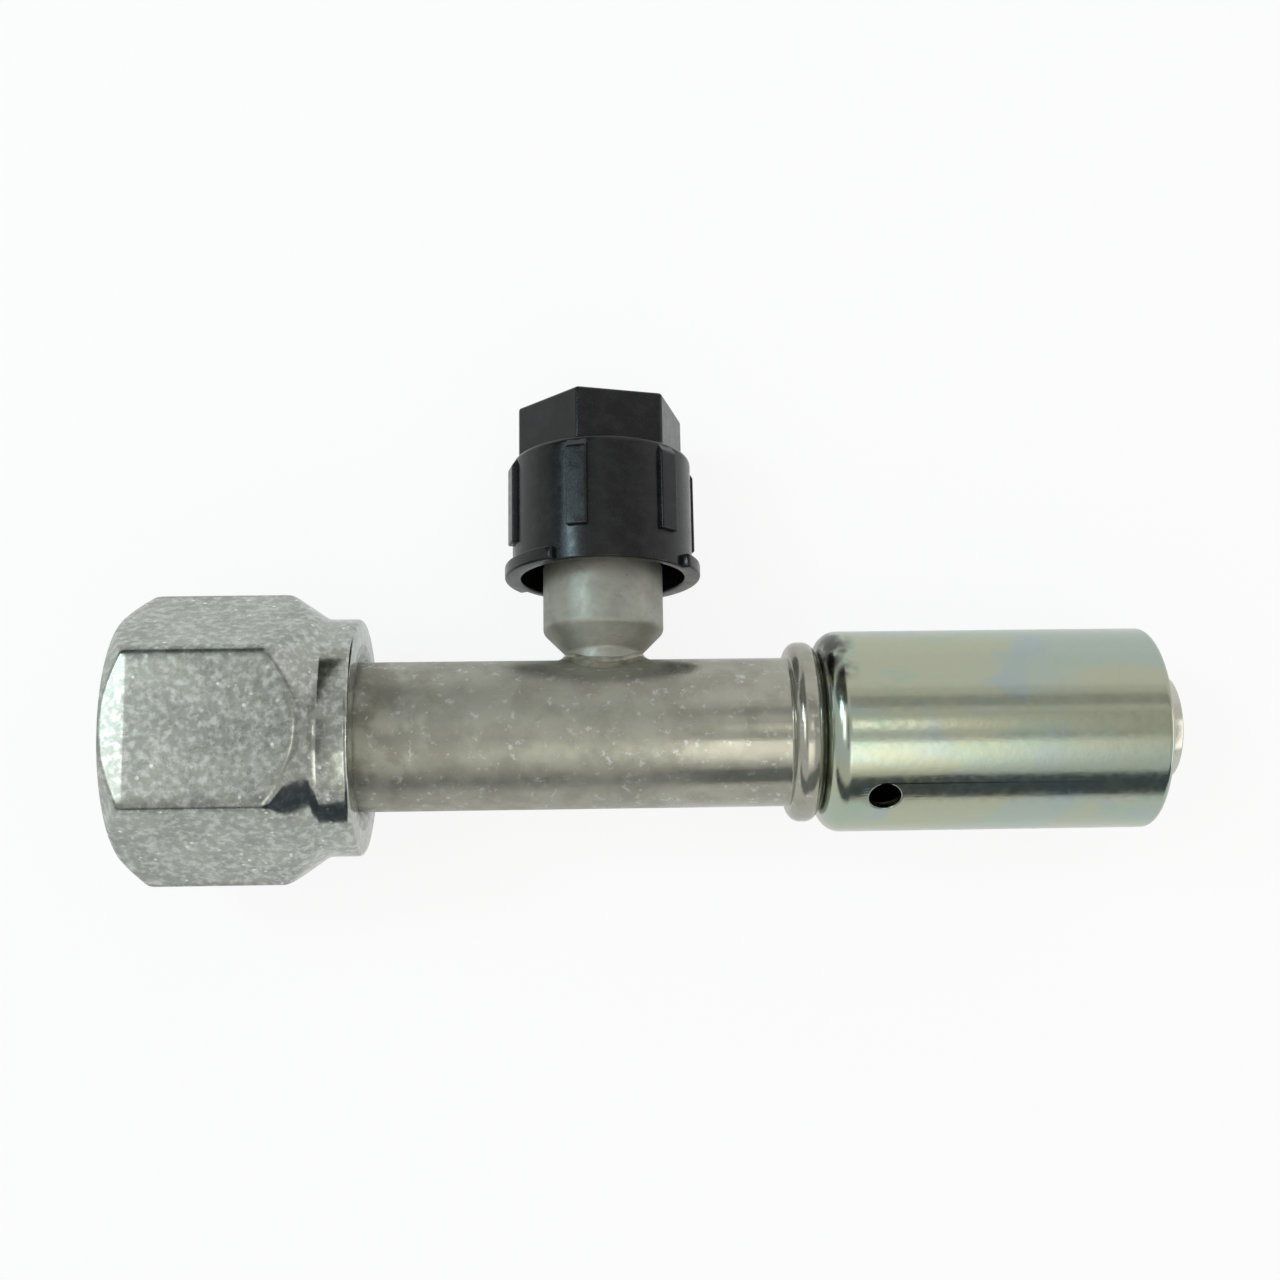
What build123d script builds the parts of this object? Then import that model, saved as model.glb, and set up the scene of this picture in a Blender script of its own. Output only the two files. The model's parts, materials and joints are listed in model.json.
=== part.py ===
from build123d import *
import math
import os

# Straight female O-ring hose fitting for an air conditioning line, with a screw-capped
# service port on its tube and a crimp ferrule for the hose.
# The tube's axis is +X, from the nut's open face at the origin to the hose end.
# +Z is up from the surface that the fitting lies on. Lengths are in millimetres.

# Tube
tube_od = 15.875
tube_wall = 1.25
tube_length = 51.9            # from the rear of the pilot bead to the front of the hose bead

# Swivel nut
nut_across_flats = 27.0
nut_length = 24.3
nut_hex_length = 20.8
nut_collar_d = 25.1
nut_corner_start = 2.3        # where the front cone leaves the hexagon's corners
nut_corner_end = 16.4         # where the rear cone meets them
nut_flat_start = 2.7
nut_flat_lead = 0.35          # how far the forged lead-in drops below each flat
nut_front_d = 26.1
nut_root_radius = 0.9
nut_edge_chamfer = 0.35
nut_thread_minor_d = 20.5
nut_thread_depth = 13.6
nut_thread_lead = 0.9
nut_relief_depth = 0.9
nut_relief_width = 1.5
nut_bore_depth = 17.0
nut_rear_chamfer = 0.9
nut_running_clearance = 0.06
nut_seat_clearance = 0.15     # between the nut's inner shoulder and the pilot bead
nut_blank_allowance = 0.01    # how far the turned blank stands clear of the corners

# Pilot and its O-ring
pilot_length = 9.0
pilot_tip_chamfer = 0.8
pilot_bead_width = 2.6
pilot_bead_radius = 0.65
pilot_bead_side_clearance = 0.35
oring_section = 1.9
oring_groove_depth = 0.4
oring_end_clearance = 0.1
oring_seat_clearance = 0.02

# Hose bead, lock groove and hose stem
hose_bead_height = 1.64       # how far it stands out of the tube
hose_bead_width = 3.4
hose_bead_crown = 0.85        # radius of its crown as a share of its height
hose_bead_root = 0.12         # radius at its root as a share of its height
hose_bead_gap = 0.8
lock_groove_depth = 0.75
lock_clearance = 0.05
stem_shoulder_width = 1.5
stem_d = 12.7
stem_bore_d = 9.7
stem_overhang = 2.7           # how far the stem stands out of the ferrule
stem_tip_d = 10.9
stem_tip_length = 2.2
stem_groove_count = 4
stem_groove_depth = 0.45
stem_groove_width = 2.0
stem_groove_floor = 0.65      # flat floor before the groove slopes out again
stem_groove_margin = 4.0

# Ferrule
ferrule_od = 21.4
ferrule_wall = 1.05
ferrule_length = 34.9
ferrule_shoulder_length = 2.0 # slope from the front face to the full diameter
ferrule_shoulder_drop = 0.45
ferrule_shoulder_radius = 1.2
ferrule_shoulder_blend = 4.0
ferrule_front_wall = 1.6
ferrule_rim_radius = 0.4
sight_hole_d = 3.3
sight_hole_setback = 5.4
sight_hole_turn = 139.0       # degrees round the axis from the service port

# Service port, heights measured from the tube's axis along the port's own axis
port_x = 49.9
port_d = 13.0
port_foot_d = 8.3
port_foot_height = 8.7
port_shoulder_height = 11.1
port_height = 29.2
port_groove_d = 10.2
port_groove_height = 19.2
port_land_height = 23.2
port_groove_slope = 0.9
port_top_chamfer = 1.0
port_mouth_d = 7.0
port_mouth_depth = 6.6
port_mouth_chamfer = 0.6
port_seat_clearance = 0.02
braze_width = 0.9
braze_height = 0.8
braze_slope = 0.75            # share of its height that slopes away outwards

# Valve core
core_thread_d = 5.3
core_seat_top = 18.3
core_seat_drop = 1.1
core_bore_d = 4.3
core_fit_clearance = 0.04
core_plug_recess = 0.3        # below the floor of the port's mouth
core_bridge_height = 1.1
core_bridge_width = 2.2
barrel_d = 3.5
barrel_length = 5.7
barrel_bore_d = 2.7
barrel_floor = 1.0
barrel_hole_d = 1.7
pin_d = 1.2
pin_stand_out = 1.0           # above the plug's bridge
pin_clearance = 0.06
pin_collar_d = 2.3
pin_collar_height = 0.6
pin_collar_drop = 0.55
pin_foot_d = 3.2
pin_foot_height = 1.3
pin_seal_d = 3.0
pin_seal_height = 0.35
pin_seal_clearance = 0.05
spring_wire_d = 0.26
spring_mean_d = 1.92
spring_turns = 5
spring_end_clearance = 0.03

# Screw cap
cap_skirt_d = 19.6
cap_skirt_wall = 0.9
cap_rim_height = 17.0
cap_shoulder_height = 30.4
cap_shoulder_radius = 0.7
cap_hex_across_flats = 16.2
cap_hex_edge = 0.35
cap_top_height = 36.1
cap_skirt_cavity = 12.2
cap_inner_d = 14.0
cap_stud_clearance = 0.06
cap_stud_length = 6.2
cap_stud_chamfer = 0.5
cap_turn = -76.0              # degrees from the port's upper side to one corner
cap_rib_count = 6
cap_rib_width = 2.3
cap_rib_proud = 0.5
cap_rib_bottom = 20.5
cap_rib_slope = 1.3
cap_tab_count = 2
cap_tab_span = 90.0
cap_tab_proud = 0.85
cap_tab_height = 1.5
cap_seal_d = 11.0
cap_seal_height = 1.3
cap_seal_clearance = 0.05
cap_seal_bore_clearance = 0.12

# Places along the tube's axis
tube_r = tube_od / 2
pilot_bead_rear = nut_bore_depth - nut_seat_clearance
pilot_bead_front = pilot_bead_rear - pilot_bead_width
pilot_tip = pilot_bead_front - pilot_length
hose_bead_front = pilot_bead_rear + tube_length
hose_bead_rear = hose_bead_front + hose_bead_width
ferrule_front = hose_bead_rear + hose_bead_gap
ferrule_end = ferrule_front + ferrule_length
stem_shoulder_front = ferrule_front + ferrule_front_wall + lock_clearance
stem_front = stem_shoulder_front + stem_shoulder_width
stem_end = ferrule_end + stem_overhang
nut_corner_r = nut_across_flats / math.sqrt(3)

# Heights along the port's axis
mouth_floor = port_height - port_mouth_depth
plug_top = mouth_floor - core_plug_recess
plug_bottom = core_seat_top + core_fit_clearance
barrel_top = plug_bottom - core_fit_clearance / 2
barrel_bottom = barrel_top - barrel_length
spring_floor = barrel_bottom + barrel_floor
collar_top = plug_bottom - pin_collar_drop
seal_top = barrel_bottom - pin_seal_clearance
foot_top = seal_top - pin_seal_height
foot_bottom = foot_top - pin_foot_height
pin_top = plug_top + pin_stand_out
cap_seal_bottom = port_height + cap_seal_clearance
cap_ceiling = cap_seal_bottom + cap_seal_height + cap_seal_clearance

# Radii of the cap's skirt, and where its ribs and tabs start inside the wall
cap_skirt_r = cap_skirt_d / 2
cap_root_r = cap_skirt_r - cap_skirt_wall / 2

# How the fitting lies: on a flat of the nut, the ferrule's rim and the cap.
# The nut is larger than the ferrule, so the surface slopes a little along the tube,
# and the port leans down until the upper end of a cap rib meets that surface.
rest_slope = (nut_across_flats - ferrule_od) / 2 / (ferrule_end - nut_corner_end)
rest_drop = nut_across_flats / 2 - rest_slope * (port_x - nut_corner_end)
rib_reach = cap_skirt_r + cap_rib_proud
rib_corner_height = cap_shoulder_height - cap_rib_slope
port_droop = math.degrees(
    math.asin(rest_drop / math.hypot(rib_corner_height, rib_reach))
    - math.atan(rib_reach / rib_corner_height)
)
port_place = Location((port_x, 0, 0), (-90 - port_droop, 0, 0))


def turned(corners, axis=Axis.X):
    """Revolve an outline of (along, radius) or (along, radius, rounding) corners."""
    face = make_face(Polyline(*[corner[:2] for corner in corners], close=True))
    for corner in corners:
        if len(corner) == 3:
            vertex = face.vertices().sort_by_distance((corner[0], corner[1], 0))[0]
            face = fillet(vertex, corner[2])
    if axis == Axis.Z:
        upright = Plane(origin=(0, 0, 0), x_dir=(0, 0, 1), z_dir=(0, -1, 0))
        face = upright * face
    return revolve(face, axis=axis)


def rod(radius, start, end):
    """A cylinder along X from start to end."""
    return Plane.YZ.offset(start) * extrude(Circle(radius), end - start)


def post(radius, bottom, top):
    """A cylinder along the port's axis from bottom to top."""
    return Plane.XY.offset(bottom) * extrude(Circle(radius), top - bottom)


def ring(outer, inner, bottom, top):
    """A flat ring round the port's axis."""
    return post(outer, bottom, top) - post(inner, bottom, top)


def make_swivel_nut():
    """Hexagon nut with a forged lead-in, a round collar and a bored rear wall."""
    lead_corner = (nut_across_flats - 2 * nut_flat_lead) / math.sqrt(3)
    front_hex = Plane.YZ * RegularPolygon(lead_corner, 6)
    full_hex = Plane.YZ.offset(nut_flat_start) * RegularPolygon(nut_corner_r, 6)
    lead = loft([front_hex.face(), full_hex.face()])
    prism = extrude(full_hex, nut_length - nut_flat_start)
    collar_r = nut_collar_d / 2
    blank_r = nut_corner_r + nut_blank_allowance
    blank = turned([
        (0, 0),
        (0, nut_front_d / 2),
        (nut_corner_start, blank_r),
        (nut_corner_end, blank_r),
        (nut_hex_length, collar_r, nut_root_radius),
        (nut_length - nut_edge_chamfer, collar_r),
        (nut_length, collar_r - nut_edge_chamfer),
        (nut_length, 0),
    ])
    minor_r = nut_thread_minor_d / 2
    relief_r = minor_r + nut_relief_depth
    relief_end = nut_thread_depth + nut_relief_width
    bore_r = tube_r + nut_running_clearance
    bore = turned([
        (0, 0),
        (0, minor_r + nut_thread_lead),
        (nut_thread_lead, minor_r),
        (nut_thread_depth, minor_r),
        (nut_thread_depth, relief_r),
        (relief_end, relief_r),
        (relief_end, minor_r),
        (nut_bore_depth, minor_r),
        (nut_bore_depth, bore_r),
        (nut_length - nut_rear_chamfer, bore_r),
        (nut_length, bore_r + nut_rear_chamfer),
        (nut_length, 0),
    ])
    return (lead + prism) & blank - bore


def make_tube_stem():
    """Pilot, two beads, tube and grooved hose stem, formed as one aluminium piece."""
    groove_r = tube_r - oring_groove_depth
    groove_front = pilot_bead_front - oring_section - 2 * oring_end_clearance
    pilot_bead_r = nut_thread_minor_d / 2 - pilot_bead_side_clearance
    hose_bead_r = tube_r + hose_bead_height
    crown = min(hose_bead_width / 2, hose_bead_height) * hose_bead_crown
    root = hose_bead_height * hose_bead_root
    stem_r = stem_d / 2
    outside = [
        (pilot_tip, stem_bore_d / 2),
        (pilot_tip, tube_r - pilot_tip_chamfer),
        (pilot_tip + pilot_tip_chamfer, tube_r),
        (groove_front, tube_r),
        (groove_front, groove_r),
        (pilot_bead_front, groove_r),
        (pilot_bead_front, pilot_bead_r, pilot_bead_radius),
        (pilot_bead_rear, pilot_bead_r, pilot_bead_radius),
        (pilot_bead_rear, tube_r),
        (hose_bead_front, tube_r, root),
        (hose_bead_front, hose_bead_r, crown),
        (hose_bead_rear, hose_bead_r, crown),
        (hose_bead_rear, tube_r),
        (ferrule_front - lock_clearance, tube_r),
        (ferrule_front - lock_clearance, tube_r - lock_groove_depth),
        (stem_shoulder_front, tube_r - lock_groove_depth),
        (stem_shoulder_front, tube_r),
        (stem_front, tube_r),
        (stem_front, stem_r),
        (stem_end - stem_tip_length, stem_r),
        (stem_end, stem_tip_d / 2),
        (stem_end, stem_bore_d / 2),
    ]
    body = turned(outside)
    groove_pitch = (stem_end - stem_tip_length - stem_front - 2 * stem_groove_margin) / (
        stem_groove_count - 1
    )
    for index in range(stem_groove_count):
        start = stem_front + stem_groove_margin + index * groove_pitch - stem_groove_width / 2
        body -= turned([
            (start, stem_r - stem_groove_depth),
            (start, stem_r + stem_groove_depth),
            (start + stem_groove_width, stem_r + stem_groove_depth),
            (start + stem_groove_width, stem_r),
            (start + stem_groove_floor, stem_r - stem_groove_depth),
        ])
    inner_r = tube_r - tube_wall
    bore_step = hose_bead_rear + tube_r - lock_groove_depth - stem_bore_d / 2
    body -= turned([
        (pilot_tip, 0),
        (pilot_tip, inner_r),
        (hose_bead_rear, inner_r),
        (bore_step, stem_bore_d / 2),
        (stem_end, stem_bore_d / 2),
        (stem_end, 0),
    ])
    return body - port_place * post(core_bore_d / 2, 0, port_foot_height)


def make_pilot_oring():
    """O-ring in the groove in front of the pilot bead."""
    radius = oring_section / 2 - oring_seat_clearance
    centre_x = pilot_bead_front - oring_section / 2 - oring_end_clearance
    mean_r = tube_r - oring_groove_depth + oring_section / 2
    section = Plane.XY * Location((centre_x, mean_r, 0)) * Circle(radius)
    return revolve(section, axis=Axis.X)


def make_ferrule():
    """Drawn shell with a rolled shoulder, its lip closed into the lock groove."""
    outer_r = ferrule_od / 2
    inner_r = outer_r - ferrule_wall
    lip_r = tube_r - lock_groove_depth + lock_clearance
    inner_front = ferrule_front + ferrule_front_wall
    shell = turned([
        (ferrule_front, lip_r),
        (ferrule_front, outer_r - ferrule_shoulder_drop, ferrule_shoulder_radius),
        (ferrule_front + ferrule_shoulder_length, outer_r, ferrule_shoulder_blend),
        (ferrule_end, outer_r, ferrule_rim_radius),
        (ferrule_end, inner_r, ferrule_rim_radius / 2),
        (inner_front, inner_r, ferrule_wall / 2),
        (inner_front, lip_r),
    ])
    hole = post(sight_hole_d / 2, inner_r - ferrule_wall, outer_r + ferrule_wall)
    hole_place = Location(
        (ferrule_front + sight_hole_setback, 0, 0),
        (sight_hole_turn - 90 - port_droop, 0, 0),
    )
    return shell - hole_place * hole


def make_service_port():
    """Quick-coupler port: foot, cone, neck, locking groove, land and stepped bore."""
    radius = port_d / 2
    foot_r = port_foot_d / 2
    groove_r = port_groove_d / 2
    body = turned([
        (0, 0),
        (0, foot_r),
        (port_foot_height, foot_r),
        (port_shoulder_height, radius),
        (port_groove_height - port_groove_slope, radius),
        (port_groove_height, groove_r),
        (port_land_height, groove_r),
        (port_land_height + port_groove_slope, radius),
        (port_height - port_top_chamfer, radius),
        (port_height, radius - port_top_chamfer),
        (port_height, 0),
    ], Axis.Z)
    mouth_r = port_mouth_d / 2
    thread_r = core_thread_d / 2
    bore_r = core_bore_d / 2
    body -= turned([
        (0, 0),
        (0, bore_r),
        (core_seat_top - core_seat_drop, bore_r),
        (core_seat_top, thread_r),
        (mouth_floor, thread_r),
        (mouth_floor, mouth_r),
        (port_height - port_mouth_chamfer, mouth_r),
        (port_height, mouth_r + port_mouth_chamfer),
        (port_height, 0),
    ], Axis.Z)
    saddle = rod(tube_r + port_seat_clearance, -port_d, port_d)
    return port_place * body.cut(saddle)


def make_braze_ring():
    """Sloped bead of braze that follows the tube round the port's foot."""
    foot_r = port_foot_d / 2
    wrap = rod(tube_r + braze_height, -port_d, port_d)
    saddle = rod(tube_r + port_seat_clearance, -port_d, port_d)
    bead = (post(foot_r + braze_width, 0, port_shoulder_height) & wrap) - saddle
    crest = bead.faces().sort_by(Axis.Z)[-1].edges()
    bead = chamfer(crest, braze_slope * min(braze_width, braze_height))
    return port_place * (bead - post(foot_r + port_seat_clearance, 0, port_shoulder_height))


def make_core_plug():
    """Threaded plug of the valve core, with a bridge for its key."""
    radius = core_thread_d / 2 - core_fit_clearance
    bridge_floor = plug_top - core_bridge_height
    plug = post(radius, plug_bottom, bridge_floor)
    bar = Box(core_bridge_width, core_thread_d, plug_top - plug_bottom)
    bar = Location((0, 0, (plug_bottom + plug_top) / 2)) * bar
    plug += bar & post(radius, plug_bottom, plug_top)
    return port_place * (plug - post(pin_d / 2 + pin_clearance, plug_bottom, plug_top))


def make_core_barrel():
    """Barrel under the plug, which holds the spring and is the valve's seat."""
    barrel = post(barrel_d / 2, barrel_bottom, barrel_top)
    barrel -= post(barrel_bore_d / 2, spring_floor, barrel_top)
    return port_place * (barrel - post(barrel_hole_d / 2, barrel_bottom, spring_floor))


def make_core_gasket():
    """Conical gasket between the barrel and the seat in the port."""
    inner_r = barrel_d / 2 + core_fit_clearance
    low_r = core_bore_d / 2 - core_fit_clearance
    high_r = core_thread_d / 2 - core_fit_clearance
    top = core_seat_top - core_fit_clearance
    gasket = turned([
        (top - core_seat_drop, inner_r),
        (top - core_seat_drop, low_r),
        (top, high_r),
        (top, inner_r),
    ], Axis.Z)
    return port_place * gasket


def make_core_spring():
    """Spring between the barrel's floor and the pin's collar."""
    inset = spring_wire_d / 2 + spring_end_clearance
    bottom = spring_floor + inset
    height = collar_top - pin_collar_height - inset - bottom
    path = Helix(height / spring_turns, height, spring_mean_d / 2)
    section = Plane(origin=path @ 0, z_dir=path % 0) * Circle(spring_wire_d / 2)
    coil = sweep(section, path=path, is_frenet=True)
    return port_place * Location((0, 0, bottom)) * coil


def make_valve_pin():
    """Pin that a coupler presses, with the collar that its spring lifts."""
    pin = post(pin_d / 2, foot_bottom, pin_top)
    pin += post(pin_collar_d / 2, collar_top - pin_collar_height, collar_top)
    return port_place * pin


def make_pin_foot():
    """Cup at the pin's lower end, behind the seal."""
    return port_place * ring(pin_foot_d / 2, pin_d / 2, foot_bottom, foot_top)


def make_pin_seal():
    """Soft ring that closes the barrel's lower end."""
    return port_place * ring(pin_seal_d / 2, pin_d / 2, foot_top, seal_top)


def cap_feature(index, count):
    """Turn about the port's axis of one of the cap's evenly spaced features."""
    return Location((0, 0, 0), (0, 0, cap_turn - 90 + index * 360 / count))


def make_cap_rib():
    """One grip rib along +X, with its upper end sloped back to the skirt."""
    side = Plane.XZ * make_face(Polyline(
        (cap_root_r, cap_rib_bottom),
        (rib_reach, cap_rib_bottom),
        (rib_reach, rib_corner_height),
        (cap_root_r, cap_shoulder_height),
        close=True,
    ))
    return extrude(side, cap_rib_width / 2, both=True)


def make_cap_tab():
    """One stretch of rim flange, centred on +X."""
    top = cap_rim_height + cap_tab_height
    reach = 2 * cap_skirt_d
    half = math.radians(cap_tab_span / 2)
    wedge = make_face(Polyline(
        (0, 0),
        (reach * math.cos(half), -reach * math.sin(half)),
        (2 * reach, 0),
        (reach * math.cos(half), reach * math.sin(half)),
        close=True,
    ))
    sector = Plane.XY.offset(cap_rim_height) * extrude(wedge, top - cap_rim_height)
    return ring(cap_skirt_r + cap_tab_proud, cap_root_r, cap_rim_height, top) & sector


def make_port_cap():
    """Screw cap: hexagon, ribbed skirt, rim tabs and the threaded stud inside."""
    cavity_top = cap_rim_height + cap_skirt_cavity
    corner_r = cap_hex_across_flats / math.sqrt(3)
    hexagon = Plane.XY.offset(cavity_top) * extrude(
        RegularPolygon(corner_r, 6), cap_top_height - cavity_top
    )
    hexagon = chamfer(hexagon.faces().sort_by(Axis.Z)[-1].edges(), cap_hex_edge)
    skirt = turned([
        (cap_rim_height, 0),
        (cap_rim_height, cap_skirt_r),
        (cap_shoulder_height, cap_skirt_r, cap_shoulder_radius),
        (cap_shoulder_height, 0),
    ], Axis.Z)
    stud_r = port_mouth_d / 2 - cap_stud_clearance
    stud_end = cap_ceiling - cap_stud_length
    hollow = turned([
        (cap_rim_height, 0),
        (cap_rim_height, cap_skirt_r - cap_skirt_wall),
        (cavity_top, cap_skirt_r - cap_skirt_wall),
        (cavity_top, cap_inner_d / 2),
        (cap_ceiling, cap_inner_d / 2),
        (cap_ceiling, stud_r),
        (stud_end + cap_stud_chamfer, stud_r),
        (stud_end, stud_r - cap_stud_chamfer),
        (stud_end, 0),
    ], Axis.Z)
    cap = skirt + cap_feature(0, cap_rib_count) * hexagon - hollow
    rib = make_cap_rib()
    for index in range(cap_rib_count):
        cap += cap_feature(index, cap_rib_count) * rib
    tab = make_cap_tab()
    for index in range(cap_tab_count):
        cap += cap_feature(index, cap_tab_count) * tab
    return port_place * cap


def make_cap_seal():
    """Flat washer on the cap's stud, which closes on the port's top face."""
    inner_r = port_mouth_d / 2 - cap_stud_clearance + cap_seal_bore_clearance
    return port_place * ring(
        cap_seal_d / 2, inner_r, cap_seal_bottom, cap_seal_bottom + cap_seal_height
    )


nodes = {
    "swivel_nut": make_swivel_nut,
    "tube_stem": make_tube_stem,
    "pilot_oring": make_pilot_oring,
    "ferrule": make_ferrule,
    "service_port": make_service_port,
    "braze_ring": make_braze_ring,
    "core_plug": make_core_plug,
    "core_barrel": make_core_barrel,
    "core_gasket": make_core_gasket,
    "core_spring": make_core_spring,
    "valve_pin": make_valve_pin,
    "pin_foot": make_pin_foot,
    "pin_seal": make_pin_seal,
    "port_cap": make_port_cap,
    "cap_seal": make_cap_seal,
}

os.makedirs("parts", exist_ok=True)
for name, make in nodes.items():
    export_step(make(), "parts/" + name + ".step")
print("port droop", round(port_droop, 3), "surface slope", round(rest_slope, 5))
print("pilot tip", round(pilot_tip, 3), "stem end", round(stem_end, 3))
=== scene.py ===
"""The looks of an air conditioning hose fitting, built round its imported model.

The tube's axis is +X from the nut's open face to the hose end, and +Z is up. Sizes in
the classes are millimetres, and they become metres where an operator is called.
"""

import json
import logging
import math
from contextlib import contextmanager
from dataclasses import dataclass
from enum import Enum
from typing import Callable, Iterator, Sequence, Union

import bmesh
import bpy
from mathutils import Matrix, Vector


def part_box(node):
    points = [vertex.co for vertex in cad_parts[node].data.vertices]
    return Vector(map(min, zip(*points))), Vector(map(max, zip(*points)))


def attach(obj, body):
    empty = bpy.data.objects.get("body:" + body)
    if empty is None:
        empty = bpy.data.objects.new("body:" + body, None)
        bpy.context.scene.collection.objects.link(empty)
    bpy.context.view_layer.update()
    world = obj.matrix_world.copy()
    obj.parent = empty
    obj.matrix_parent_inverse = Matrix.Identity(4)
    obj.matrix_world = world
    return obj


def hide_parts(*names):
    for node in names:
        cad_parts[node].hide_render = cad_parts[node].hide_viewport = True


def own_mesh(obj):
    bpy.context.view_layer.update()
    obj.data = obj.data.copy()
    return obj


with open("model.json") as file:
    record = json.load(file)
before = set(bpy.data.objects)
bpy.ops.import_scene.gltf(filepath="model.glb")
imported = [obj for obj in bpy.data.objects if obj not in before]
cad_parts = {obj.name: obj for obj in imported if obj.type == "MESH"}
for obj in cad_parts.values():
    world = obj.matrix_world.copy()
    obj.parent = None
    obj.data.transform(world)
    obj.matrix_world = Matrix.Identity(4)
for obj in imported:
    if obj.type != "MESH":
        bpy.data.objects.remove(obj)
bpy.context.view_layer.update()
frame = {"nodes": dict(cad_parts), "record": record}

log = logging.getLogger("hose_fitting")

MM = 0.001
NEAR = 0.004 * MM
SIDES = 192
FINE_ROUNDING = 0.5
FINE_STEPS = 4
BROAD_STEPS = 10
WHITE = (1.0, 1.0, 1.0)
Colour = tuple[float, float, float]
Place = tuple[float, float, float]
Value = Union[float, Colour, Vector, bpy.types.NodeSocket]


def colour(red: int, green: int, blue: int) -> Colour:
    """Turn a colour as a screen shows it, 0 to 255, into linear values.

    Args:
        red: Amount of red.
        green: Amount of green.
        blue: Amount of blue.

    Returns:
        The three linear values.
    """
    levels = []
    for level in (red / 255, green / 255, blue / 255):
        levels.append(level / 12.92 if level <= 0.04045 else ((level + 0.055) / 1.055) ** 2.4)
    return (levels[0], levels[1], levels[2])


def blended(first: float, last: float, width: float) -> float:
    """Take the smaller of two sizes, rounded where they meet.

    Args:
        first: One size.
        last: The other.
        width: Difference of the two at which the rounding starts.

    Returns:
        The smaller size, or a little less.
    """
    near = max(width - abs(first - last), 0)
    return min(first, last) - near * near / (4 * width)


def add_object(name: str, data: bpy.types.ID) -> bpy.types.Object:
    """Add a light, a card or a camera to the scene.

    Args:
        name: What it is called.
        data: Its data.

    Returns:
        The new object.
    """
    thing = bpy.data.objects.new(name, data)
    bpy.context.scene.collection.objects.link(thing)
    return thing


class Joining(Enum):
    """What a tool does to the piece that it is used on."""

    CUT = "DIFFERENCE"
    ADD = "UNION"


@dataclass(frozen=True)
class Corner:
    """One corner of a turned outline, in millimetres, with the radius that rounds it."""

    along: float
    radius: float
    rounding: float = 0.0

    def turn(self, before: "Corner", after: "Corner") -> float:
        """Find the angle by which the outline turns here.

        Args:
            before: The corner before this one.
            after: The corner after it.

        Returns:
            The angle in radians.
        """
        arrive = Vector((self.along - before.along, self.radius - before.radius))
        leave = Vector((after.along - self.along, after.radius - self.radius))
        return arrive.angle(leave)


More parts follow.
